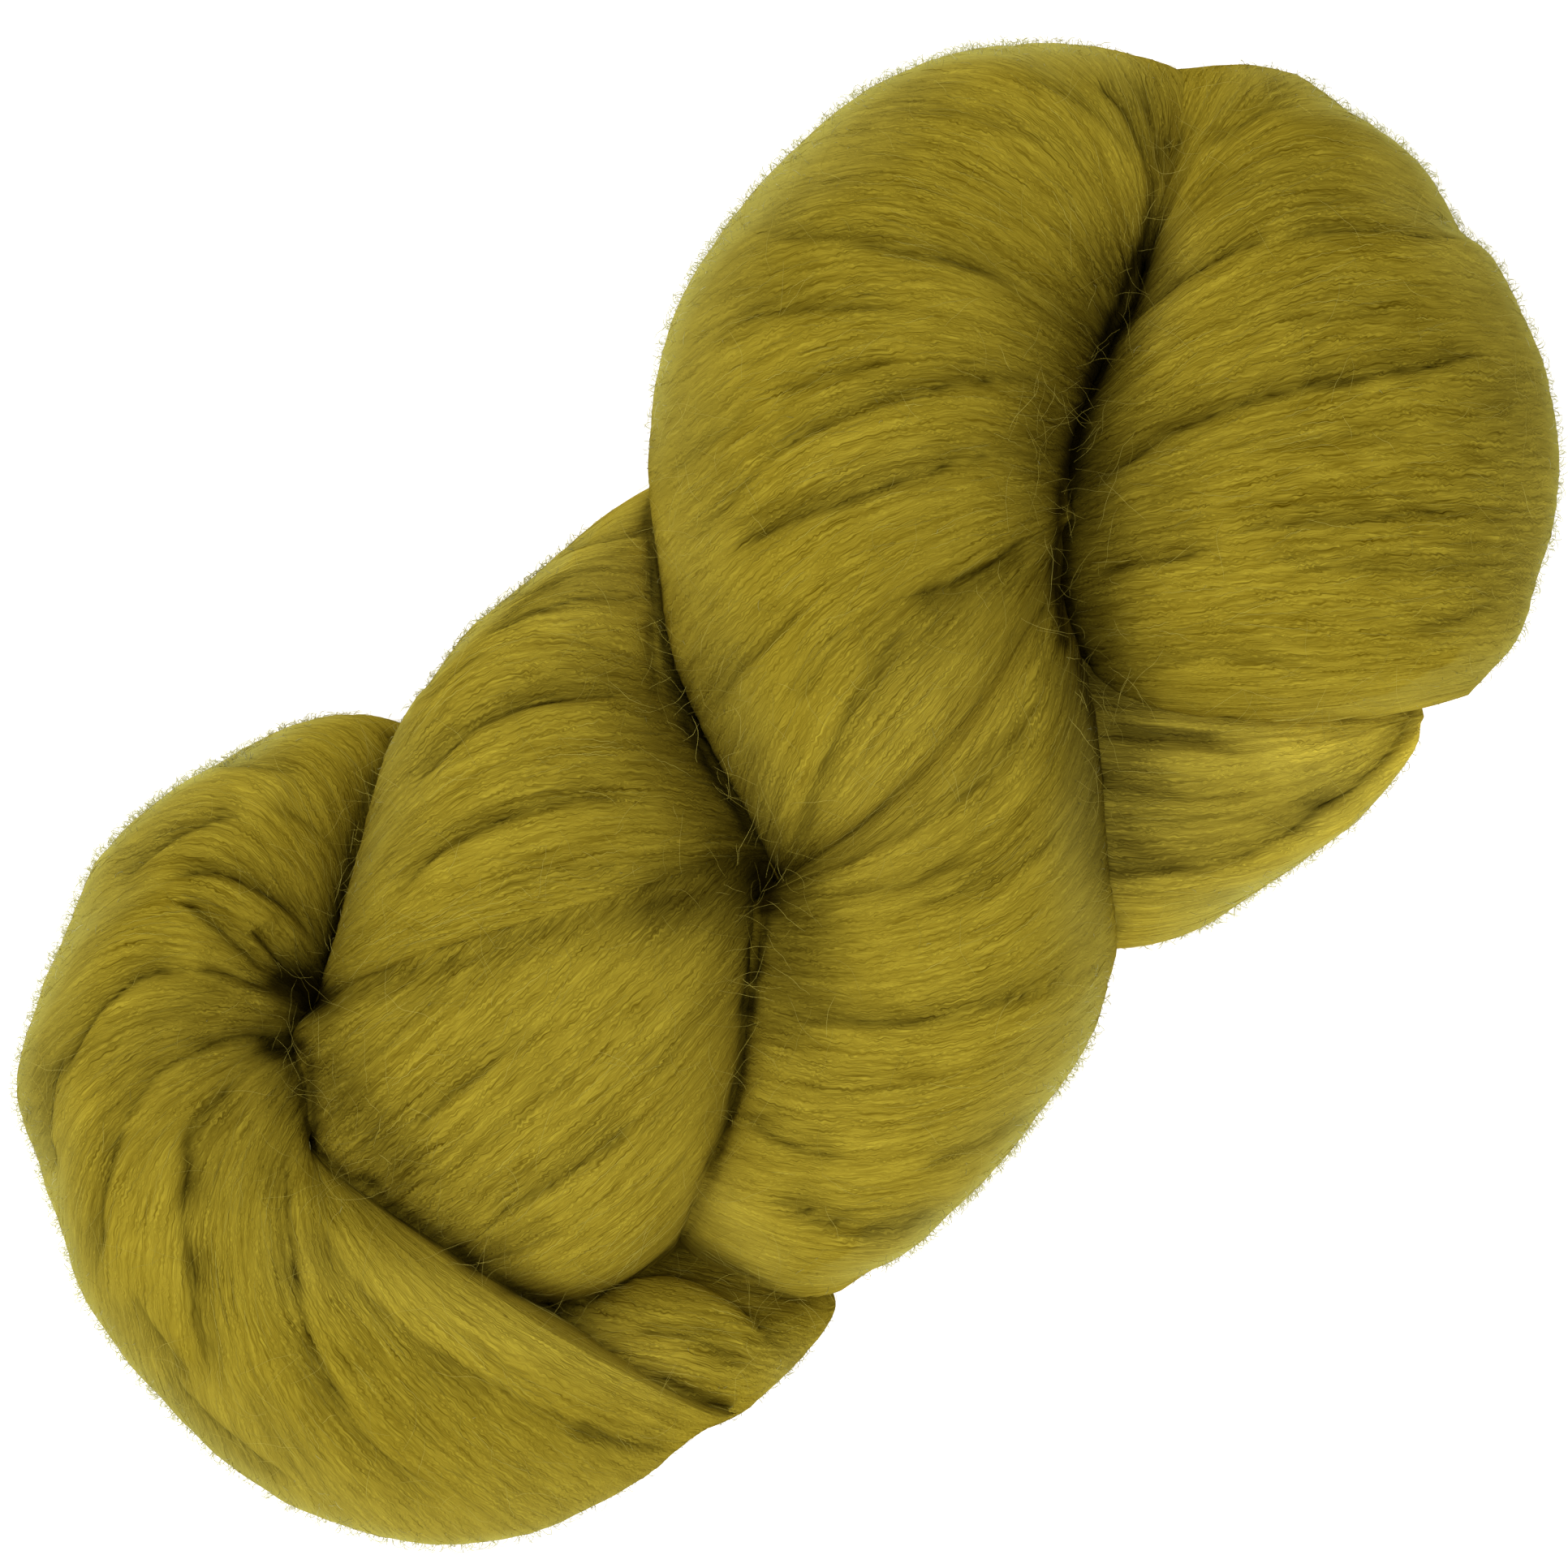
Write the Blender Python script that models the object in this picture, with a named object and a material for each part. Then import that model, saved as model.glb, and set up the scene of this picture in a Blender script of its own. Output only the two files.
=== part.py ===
import bpy
import bmesh
import math
import numpy as np

# Driving dimensions, metres. The lobes are laid out on a drawing grid seen from above, its x
# to the right and its y downwards, on which the hank lies at GRID_TURN. One grid step, the
# grid point over the middle of the base and the turn that brings the hank's length to +X:
MM = 0.001
GRID_STEP = 0.16 * MM
GRID_MIDDLE_X = 963.6
GRID_MIDDLE_Y = 955.2
GRID_TURN = math.radians(-45.0)

# Ring and row counts.
HALF_RING_POINTS = 10     # spaces over the upper half of a ring, and again over the lower half
ROW_STEPS = 3             # rings from one table row to the next
END_ROWS = 1.35           # rows over which a lobe rounds off to its first and last row
END_STEPS = 4             # rings over that rounding
FOLD_WIDTH = 0.30         # half width of a fold, in rows
WELD_DISTANCE = 0.005 * MM
CREASE_ANGLE = math.radians(50.0)

WOOL_COLOUR = (0.254, 0.191, 0.018, 1.0)
WOOL_ROUGHNESS = 0.95
WOOL_SHEEN = 0.4

# One row for each fold line that runs over a lobe, from one side over the crest to the other.
# The first three pairs are grid steps; under, mid and top are heights of the lowest, widest and
# highest parts of the ring, and fold the depth of the groove along it, all in millimetres.
COLUMNS = ("start_x", "start_y", "crest_x", "crest_y", "finish_x", "finish_y",
           "under", "mid", "top", "fold")

FRONT_UPPER = (
    (1500, 92, 1512, 168, 1472, 252, 12, 44, 79, 0.0),
    (1340, 58, 1394, 144, 1418, 296, 0, 44, 88, 1.5),
    (1200, 64, 1338, 134, 1406, 318, -4, 45, 92, 0.0),
    (1070, 112, 1275, 130, 1396, 338, -5, 46, 96, 0.0),
    (943, 220, 1180, 212, 1364, 384, -5, 48, 102, 0.8),
    (850, 350, 1090, 274, 1342, 410, 2, 52, 107, 1.0),
    (812, 460, 1070, 352, 1330, 440, 10, 58, 110, 0.8),
    (800, 575, 1065, 434, 1316, 478, 18, 62, 112, 1.2),
    (806, 690, 1060, 522, 1300, 532, 26, 66, 113, 0.6),
    (822, 790, 1050, 610, 1292, 588, 32, 68, 113, 1.8),
    (865, 905, 1042, 712, 1290, 622, 36, 69, 113, 0.8),
    (920, 1010, 1043, 793, 1293, 646, 38, 70, 112, 0.6),
    (952, 1080, 1096, 872, 1293, 664, 40, 70, 112, 0.0),
    (958, 1104, 1226, 985, 1308, 684, 44, 70, 106, 0.0),
)

FRONT_LOWER = (
    (954, 1080, 1120, 850, 1284, 670, 40, 66, 90, 0.0),
    (952, 1094, 1180, 930, 1298, 690, 38, 66, 106, 0.0),
    (946, 1112, 1228, 1000, 1320, 775, 36, 66, 109, 0.8),
    (942, 1152, 1212, 1104, 1354, 900, 32, 65, 111, 1.0),
    (934, 1246, 1185, 1256, 1374, 1125, 22, 60, 110, 2.0),
    (926, 1320, 1155, 1332, 1362, 1215, 12, 57, 107, 0.4),
    (898, 1390, 1110, 1408, 1322, 1312, 4, 54, 103, 1.2),
    (850, 1462, 1055, 1516, 1190, 1472, -5, 50, 93, 1.8),
    (820, 1526, 930, 1598, 1036, 1590, 0, 47, 80, 0.0),
)

MIDDLE_UPPER = (
    (694, 680, 746, 636, 812, 594, 0, 46, 74, 0.0),
    (587, 770, 702, 692, 812, 682, -5, 48, 91, 1.5),
    (518, 858, 658, 735, 812, 728, -5, 49, 96, 1.8),
    (478, 930, 618, 785, 814, 782, -2, 49, 99, 0.6),
    (455, 1000, 612, 838, 824, 842, 2, 48, 99, 0.6),
    (440, 1060, 625, 897, 844, 886, 8, 50, 102, 2.0),
    (428, 1112, 624, 958, 880, 956, 14, 54, 105, 0.5),
    (414, 1162, 628, 1018, 908, 1012, 20, 56, 107, 2.0),
    (394, 1222, 640, 1108, 930, 1054, 26, 58, 107, 0.8),
    (378, 1262, 655, 1222, 942, 1104, 36, 60, 102, 0.0),
)

MIDDLE_LOWER = (
    (384, 1236, 542, 1084, 720, 950, 34, 58, 84, 0.0),
    (374, 1272, 552, 1140, 762, 976, 30, 57, 97, 0.0),
    (386, 1332, 570, 1192, 806, 994, 26, 56, 103, 0.0),
    (398, 1402, 596, 1235, 850, 1010, 18, 54, 106, 0.8),
    (440, 1468, 664, 1288, 912, 1050, 10, 50, 106, 1.0),
    (515, 1520, 735, 1345, 944, 1122, 4, 49, 103, 0.6),
    (585, 1566, 775, 1435, 930, 1235, -3, 47, 97, 1.2),
    (648, 1598, 796, 1512, 910, 1362, -5, 46, 89, 0.6),
    (700, 1612, 806, 1570, 882, 1480, 0, 44, 76, 0.0),
)

END_RIGHT = (
    (1400, 252, 1392, 164, 1392, 84, 12, 44, 79, 0.0),
    (1412, 308, 1490, 160, 1566, 84, -5, 44, 86, 1.0),
    (1408, 324, 1526, 170, 1664, 140, -5, 44, 88, 0.0),
    (1402, 342, 1562, 184, 1750, 204, -5, 44, 90, 0.8),
    (1386, 380, 1572, 240, 1806, 290, -5, 44, 93, 0.8),
    (1366, 438, 1590, 298, 1840, 322, -5, 45, 96, 2.0),
    (1338, 500, 1600, 368, 1871, 380, -5, 46, 98, 0.6),
    (1314, 590, 1600, 480, 1901, 450, -5, 46, 99, 2.2),
    (1302, 640, 1600, 565, 1919, 545, -4, 47, 99, 0.6),
    (1304, 708, 1592, 655, 1914, 635, 0, 48, 98, 1.4),
    (1326, 765, 1600, 728, 1893, 712, 6, 50, 96, 1.0),
    (1348, 822, 1600, 812, 1866, 788, 14, 52, 92, 0.8),
    (1366, 886, 1572, 904, 1806, 856, 24, 54, 80, 0.0),
)

END_LEFT = (
    (560, 1012, 556, 932, 540, 905, 2, 34, 54, 0.0),
    (496, 985, 470, 896, 376, 889, 0, 34, 60, 0.0),
    (432, 1080, 350, 945, 208, 978, -5, 36, 74, 0.8),
    (408, 1140, 288, 992, 122, 1055, -5, 38, 80, 0.8),
    (386, 1185, 252, 1072, 80, 1150, -5, 40, 85, 2.0),
    (370, 1216, 205, 1130, 46, 1235, -5, 41, 88, 0.8),
    (366, 1238, 165, 1218, 19, 1350, -5, 42, 90, 2.0),
    (354, 1266, 150, 1310, 63, 1478, -5, 43, 91, 0.8),
    (340, 1288, 152, 1420, 124, 1630, -5, 44, 92, 1.2),
    (358, 1304, 240, 1510, 296, 1818, -5, 46, 94, 2.2),
    (374, 1334, 318, 1595, 490, 1895, -5, 49, 96, 0.6),
    (390, 1385, 386, 1610, 640, 1889, -5, 53, 97, 2.0),
    (388, 1412, 520, 1630, 758, 1838, -5, 56, 97, 1.8),
    (398, 1420, 590, 1612, 856, 1768, -3, 58, 95, 0.8),
    (410, 1424, 650, 1590, 908, 1738, 4, 58, 88, 0.0),
)

TAIL_LEFT = (
    (580, 1760, 700, 1790, 826, 1776, -5, 30, 56, 0.0),
    (612, 1690, 770, 1730, 900, 1752, -5, 31, 70, 0.0),
    (640, 1640, 820, 1668, 956, 1708, -5, 32, 77, 0.6),
    (670, 1580, 868, 1618, 1000, 1662, -5, 32, 78, 1.0),
    (700, 1520, 900, 1568, 1030, 1612, -5, 30, 68, 0.6),
    (730, 1460, 915, 1500, 1010, 1548, -5, 28, 48, 0.0),
)

BACK_RIGHT = (
    (930, 620, 1280, 740, 1740, 800, 0, 36, 60, 0.0),
    (850, 680, 1270, 850, 1756, 872, -5, 37, 75, 1.0),
    (800, 760, 1300, 950, 1752, 892, -5, 37, 77, 1.0),
    (810, 860, 1350, 1046, 1740, 926, -5, 37, 77, 2.0),
    (860, 950, 1350, 1104, 1686, 988, -5, 36, 73, 0.5),
    (950, 1040, 1320, 1168, 1548, 1092, 0, 34, 56, 0.0),
)

BACK_LEFT = (
    (960, 1380, 780, 1120, 480, 900, 0, 30, 48, 0.0),
    (1040, 1450, 740, 1190, 430, 950, -5, 30, 60, 1.0),
    (1050, 1540, 660, 1270, 396, 1030, -5, 30, 62, 1.0),
    (980, 1590, 620, 1350, 390, 1130, -5, 30, 60, 1.0),
    (860, 1580, 580, 1420, 400, 1230, 0, 30, 46, 0.0),
)

# Each lobe: its rows, and how far its rings run on past the start and the finish of a row to
# meet the neighbouring lobe, as a share of half a row.
LOBES = (
    ("lobe_front_upper", FRONT_UPPER, 0.00, 0.10),
    ("lobe_front_lower", FRONT_LOWER, 0.08, 0.00),
    ("lobe_middle_upper", MIDDLE_UPPER, 0.02, 0.12),
    ("lobe_middle_lower", MIDDLE_LOWER, 0.10, 0.10),
    ("lobe_end_right", END_RIGHT, 0.10, 0.00),
    ("lobe_end_left", END_LEFT, 0.12, 0.00),
    ("lobe_tail_left", TAIL_LEFT, 0.00, 0.00),
    ("lobe_back_right", BACK_RIGHT, 0.00, 0.00),
    ("lobe_back_left", BACK_LEFT, 0.00, 0.00),
)

# Trimming block that leaves the flat base.
BASE_BLOCK_SIZE = 0.6
BASE_BLOCK_DEPTH = 0.05


def clear_scene():
    for obj in list(bpy.data.objects):
        bpy.data.objects.remove(obj, do_unlink=True)


def wool_material():
    material = bpy.data.materials.new("combed_wool")
    material.use_nodes = True
    shader = material.node_tree.nodes["Principled BSDF"]
    shader.inputs["Base Color"].default_value = WOOL_COLOUR
    shader.inputs["Roughness"].default_value = WOOL_ROUGHNESS
    shader.inputs["Sheen Weight"].default_value = WOOL_SHEEN
    return material


def table_columns(rows):
    table = np.array(rows, dtype=float)
    columns = {}
    for index, name in enumerate(COLUMNS):
        columns[name] = table[:, index]
    for point in ("start", "crest", "finish"):
        right = (columns[point + "_x"] - GRID_MIDDLE_X) * GRID_STEP
        back = (GRID_MIDDLE_Y - columns[point + "_y"]) * GRID_STEP
        columns[point + "_x"] = right * math.cos(GRID_TURN) - back * math.sin(GRID_TURN)
        columns[point + "_y"] = right * math.sin(GRID_TURN) + back * math.cos(GRID_TURN)
    for name in ("under", "mid", "top", "fold"):
        columns[name] = columns[name] * MM
    return columns


def along_rows(values, places):
    # Smooth curve through the row values, read at places counted in rows.
    last = len(values) - 1
    slopes = np.gradient(values)
    lower = np.clip(np.floor(places).astype(int), 0, last - 1)
    t = places - lower
    rise = (1.0 + 2.0 * t) * (1.0 - t) ** 2
    enter = t * (1.0 - t) ** 2
    fall = t * t * (3.0 - 2.0 * t)
    leave = t * t * (t - 1.0)
    first = values[lower] * rise + slopes[lower] * enter
    return first + values[lower + 1] * fall + slopes[lower + 1] * leave


def ring_places(row_count):
    # Even steps from row to row, closer where the lobe rounds off at either end.
    last = row_count - 1.0
    turns = np.linspace(0.0, math.pi / 2.0, END_STEPS + 1)
    opening = END_ROWS * (1.0 - np.cos(turns))
    steps = int(round((last - 2.0 * END_ROWS) * ROW_STEPS))
    middle = np.linspace(END_ROWS, last - END_ROWS, steps + 1)[1:-1]
    return np.concatenate([opening, middle, (last - opening)[::-1]])


def lobe_grid(rows, start_lap, finish_lap):
    # Points of every ring, upper half from start to finish, then lower half back to start.
    table = table_columns(rows)
    row_count = len(rows)
    places = ring_places(row_count)
    value = {name: along_rows(table[name], places) for name in COLUMNS if name != "fold"}
    from_end = np.minimum(places, row_count - 1.0 - places)
    ending = np.clip(1.0 - from_end / END_ROWS, 0.0, 1.0)
    swell = np.sqrt(1.0 - ending ** 2)
    groove = np.zeros_like(places)
    for index, depth in enumerate(table["fold"]):
        groove = groove + depth * np.exp(-((places - index) / FOLD_WIDTH) ** 2)

    angles = np.linspace(0.0, 2.0 * math.pi, 2 * HALF_RING_POINTS, endpoint=False)
    across = -np.cos(angles)
    lift = np.sin(angles)
    reach = across * (1.0 + np.where(across < 0.0, start_lap, finish_lap))
    weight_start = reach * (reach - 1.0) / 2.0
    weight_crest = 1.0 - reach ** 2
    weight_finish = reach * (reach + 1.0) / 2.0

    x = np.outer(value["start_x"], weight_start) + np.outer(value["crest_x"], weight_crest)
    x = x + np.outer(value["finish_x"], weight_finish)
    y = np.outer(value["start_y"], weight_start) + np.outer(value["crest_y"], weight_crest)
    y = y + np.outer(value["finish_y"], weight_finish)
    above = (value["top"] - value["mid"]) * swell - groove * swell
    below = (value["mid"] - value["under"]) * swell
    height = np.where(lift > 0.0, above[:, None], below[:, None]) * lift
    z = value["mid"][:, None] + height
    return np.stack([x, y, z], axis=2)


def lobe_object(name, rows, start_lap, finish_lap):
    grid = lobe_grid(rows, start_lap, finish_lap)
    ring_count, ring_size, _ = grid.shape
    half = ring_size // 2
    # The first and last rings close onto a single line, shared by both halves.
    line = [k if k <= half else ring_size - k for k in range(ring_size)]
    vertices = []
    index = np.zeros((ring_count, ring_size), dtype=int)
    for ring in range(ring_count):
        closing = ring in (0, ring_count - 1)
        first = len(vertices)
        count = half + 1 if closing else ring_size
        vertices.extend(grid[ring, :count].tolist())
        for k in range(ring_size):
            index[ring, k] = first + (line[k] if closing else k)
    # Diagonals lean towards the start and finish points of the nearer closing line.
    faces = []
    for ring in range(ring_count - 1):
        opening = ring < ring_count // 2
        for k in range(ring_size):
            following = (k + 1) % ring_size
            here = int(index[ring, k])
            beside = int(index[ring, following])
            above = int(index[ring + 1, k])
            across = int(index[ring + 1, following])
            before_turn = (k % half) < half // 2
            if before_turn == opening:
                faces.append((here, beside, across))
                faces.append((here, across, above))
            else:
                faces.append((here, beside, above))
                faces.append((beside, across, above))
    faces = [face for face in faces if len(set(face)) == 3]
    mesh = bpy.data.meshes.new(name)
    mesh.from_pydata(vertices, [], faces)
    mesh.update()
    work = bmesh.new()
    work.from_mesh(mesh)
    bmesh.ops.recalc_face_normals(work, faces=work.faces[:])
    if work.calc_volume(signed=True) < 0.0:
        bmesh.ops.reverse_faces(work, faces=work.faces[:])
    work.to_mesh(mesh)
    work.free()
    obj = bpy.data.objects.new(name, mesh)
    bpy.context.collection.objects.link(obj)
    return obj


def base_block():
    bpy.ops.mesh.primitive_cube_add(size=1.0)
    block = bpy.context.object
    block.name = "base_block"
    block.scale = (BASE_BLOCK_SIZE, BASE_BLOCK_SIZE, BASE_BLOCK_DEPTH)
    block.location = (0.0, 0.0, -BASE_BLOCK_DEPTH / 2.0)
    block.display_type = "WIRE"
    block.hide_render = True
    return block


def join_solid(target, tool, operation):
    modifier = target.modifiers.new(operation.lower(), "BOOLEAN")
    modifier.solver = "EXACT"
    modifier.operation = operation
    modifier.object = tool
    bpy.context.view_layer.update()
    graph = bpy.context.evaluated_depsgraph_get()
    joined = bpy.data.meshes.new_from_object(target.evaluated_get(graph))
    target.modifiers.clear()
    previous = target.data
    target.data = joined
    bpy.data.meshes.remove(previous)
    bpy.data.objects.remove(tool, do_unlink=True)


def tidy_mesh(obj):
    work = bmesh.new()
    work.from_mesh(obj.data)
    bmesh.ops.remove_doubles(work, verts=work.verts[:], dist=WELD_DISTANCE)
    bmesh.ops.dissolve_degenerate(work, edges=work.edges[:], dist=WELD_DISTANCE)
    bmesh.ops.triangulate(work, faces=work.faces[:])
    bmesh.ops.recalc_face_normals(work, faces=work.faces[:])
    work.to_mesh(obj.data)
    work.free()
    obj.data.shade_smooth()
    obj.data.set_sharp_from_angle(angle=CREASE_ANGLE)


def build():
    clear_scene()
    lobes = [lobe_object(*entry) for entry in LOBES]
    hank = lobes[0]
    for other in lobes[1:]:
        join_solid(hank, other, "UNION")
    join_solid(hank, base_block(), "DIFFERENCE")
    tidy_mesh(hank)
    hank.name = "wool_hank"
    hank.data.name = "wool_hank"
    hank.data.materials.clear()
    hank.data.materials.append(wool_material())


build()
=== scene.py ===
import math

import bpy
import numpy as np
from mathutils.bvhtree import BVHTree
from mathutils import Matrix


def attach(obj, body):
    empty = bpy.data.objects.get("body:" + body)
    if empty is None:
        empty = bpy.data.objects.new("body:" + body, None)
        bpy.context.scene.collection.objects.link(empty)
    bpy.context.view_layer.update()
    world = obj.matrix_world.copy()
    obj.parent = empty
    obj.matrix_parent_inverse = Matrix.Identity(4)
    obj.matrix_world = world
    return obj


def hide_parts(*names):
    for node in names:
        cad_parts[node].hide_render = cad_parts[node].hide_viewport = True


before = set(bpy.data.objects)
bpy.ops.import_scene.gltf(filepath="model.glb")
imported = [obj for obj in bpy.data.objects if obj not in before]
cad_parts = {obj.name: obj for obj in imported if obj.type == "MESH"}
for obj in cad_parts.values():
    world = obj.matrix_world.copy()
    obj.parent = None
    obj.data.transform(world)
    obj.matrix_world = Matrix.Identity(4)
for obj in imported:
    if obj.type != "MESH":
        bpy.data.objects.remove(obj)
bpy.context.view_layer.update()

mm = 0.001

# The hank is laid out on a drawing grid seen from above, x right and y down, as in the part
layout = {"step": 0.16 * mm, "middleX": 963.6, "middleY": 955.2, "turn": math.radians(-45.0)}
view = {"middle": 966.0, "height": 2600.0, "focus": 46.0}       # camera over this grid point, in mm

# How every lobe rounds off and how its wool is gathered; sizes in millimetres, widths in rows
wool = {
    "endRings": 26,         # rings over the rounded ends of a lobe
    "foldSharp": 0.60, "foldSoft": 5.5,         # half widths of a fold's bottom and of its shoulders
    "foldGain": 1.25, "foldFade": 0.22,         # share of a fold's length over which an end fades
    "foldSway": 4.0, "swayLength": 45.0, "foldReach": 75,       # in grid steps
    "lipOffset": 3.2, "lipWidth": 2.8,          # the raised edge along the steep side of a fold
    "strandsPerRow": 1.3, "strandLength": 110.0, "strandDepth": 0.42, "strandWidth": 0.20,
    "locksPerRow": 4.3, "lockLength": 48.0, "lockDepth": 0.19,
    "wispsPerRow": 13.0, "wispLength": 22.0, "wispDepth": 0.10,
    "wander": 0.10, "wanderLength": 48.0,
    "plainSpacing": 14.0,   # row spacing at which the grooves have their full depth
    "seamDepth": 1.0, "seamWidth": 1.8,         # how far two lobes are drawn in where they meet
    "skin": 0.25,           # height at which the wool is pressed flat on the floor
    "cover": 0.15,          # how far the wool stands above the plain form
    "hidden": 1.6,          # further than this inside the solid a point never shows
    "rimCalm": 0.4,         # share of the relief that an open rim loses
    "seamDark": 0.50, "seamDarkWidth": 0.7,     # painted shade on the line between two lobes
    "seamSoftShade": 0.15, "seamSoftShadeWidth": 3.0,     # and painted shade on the wool beside it
    "wallDark": 0.85, "wallDarkWidth": 4.0,     # painted shade on walls that lead down into a crease
    "paintedLightLean": 0.3, "paintedLightGain": 0.65,          # how painted light turns to the painted rim light's colour and brightens
}


def curveThrough(values, places):
    # smooth cubic through the row values: Hermite blend of the two nearest rows and their slopes
    slopes = np.gradient(values)
    low = np.clip(np.floor(places).astype(int), 0, len(values) - 2)
    t = places - low
    a = values[low] * (1 + 2 * t) * (1 - t) ** 2 + slopes[low] * t * (1 - t) ** 2
    return a + values[low + 1] * t * t * (3 - 2 * t) + slopes[low + 1] * t * t * (t - 1)


def softNoise(x, y, seed):
    # value noise: random heights on whole-number points, blended with a smooth step, from -1 to 1
    cells = np.random.default_rng(seed).random((193, 197)) * 2 - 1
    x0, y0 = np.floor(x).astype(int), np.floor(y).astype(int)
    fx, fy = x - x0, y - y0
    fx, fy = fx * fx * (3 - 2 * fx), fy * fy * (3 - 2 * fy)
    xa, xb, ya, yb = x0 % 193, (x0 + 1) % 193, y0 % 197, (y0 + 1) % 197
    low = cells[xa, ya] * (1 - fx) + cells[xb, ya] * fx
    high = cells[xa, yb] * (1 - fx) + cells[xb, yb] * fx
    return low * (1 - fy) + high * fy


def lengths(vectors):
    return np.sqrt((vectors ** 2).sum(axis=-1))


def gridNormals(points):
    # outward normal at a grid point: cross product of the steps to its neighbours both ways
    across = np.gradient(points, axis=0)
    around = np.roll(points, -1, axis=1) - np.roll(points, 1, axis=1)
    normal = np.cross(around, across)
    if normal[:, points.shape[1] // 2, 2].mean() < 0:
        normal = -normal
    return normal / np.maximum(lengths(normal), 1e-12)[..., None]


def lobeSurface(lobe):
    # a point is start, crest and finish blended by a parabola in the reach across the lobe,
    # with the reach as minus the cosine and the height as the sine of one turn round the ring
    table = np.array(lobe["rows"], dtype=float)
    last = len(table) - 1.0
    turns = np.linspace(0.05, math.pi / 2, wool["endRings"])
    firstEnd, lastEnd = lobe["ends"]
    ringCount = int((last - firstEnd - lastEnd) * lobe["ringsPerRow"])
    middle = np.linspace(firstEnd, last - lastEnd, max(ringCount, 3))[1:-1]
    rounding = 1 - np.cos(turns)
    places = np.concatenate([firstEnd * rounding, middle, (last - lastEnd * rounding)[::-1]])

    value = [curveThrough(table[:, k], places) for k in range(9)]
    ending = np.clip(1 - np.minimum(places / firstEnd, (last - places) / lastEnd), 0, 1)
    swell = np.sqrt(1 - ending ** 2)
    # a third of the points go round the lower half and two thirds over the upper half
    around, sixth = lobe["around"], lobe["around"] // 6
    angle = np.interp(np.arange(around), [0, sixth, around - sixth, around],
                      [-math.pi / 2, 0, math.pi, math.pi * 1.5])
    across, lift = -np.cos(angle), np.sin(angle)
    reach = across * (1 + np.where(across < 0, lobe["laps"][0], lobe["laps"][1]))
    weights = (reach * (reach - 1) / 2, 1 - reach ** 2, reach * (reach + 1) / 2)
    gridX = sum(np.outer(value[2 * k], weights[k]) for k in range(3))
    gridY = sum(np.outer(value[2 * k + 1], weights[k]) for k in range(3))
    under, mid, top = value[6], value[7], value[8]
    half = np.where(lift > 0, ((top - mid) * swell)[:, None], ((mid - under) * swell)[:, None])
    # a fuller side stays high until close to its edge: the sine to a power below one
    full = np.where(across < 0, lobe["full"][0], lobe["full"][1])
    height = mid[:, None] + half * np.sign(lift) * np.abs(lift) ** np.where(lift > 0, full, 1.0)
    right = (gridX - layout["middleX"]) * layout["step"]
    back = (layout["middleY"] - gridY) * layout["step"]
    cosTurn, sinTurn = math.cos(layout["turn"]), math.sin(layout["turn"])
    plain = np.stack([right * cosTurn - back * sinTurn, right * sinTurn + back * cosTurn,
                      height * mm], axis=2)

    # where the camera sees each point, on the grid
    nearer = (view["height"] - view["focus"]) / (view["height"] - height)
    seen = np.stack([view["middle"] + (gridX - view["middle"]) * nearer,
                     view["middle"] + (gridY - view["middle"]) * nearer], axis=2)

    crest = plain[:, around // 2]
    acrossAt = np.concatenate([[0], np.cumsum(lengths(np.diff(crest, axis=0)))]) / mm
    looped = np.concatenate([plain, plain[:, :1]], axis=1)
    alongAt = np.cumsum(lengths(np.diff(looped, axis=1)), axis=1) / mm
    alongAt = np.concatenate([np.zeros((len(places), 1)), alongAt], axis=1)
    return {"plain": plain, "places": places, "across": across, "lift": lift, "seen": seen,
            "acrossAt": acrossAt, "alongAt": alongAt, "last": last}


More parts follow.
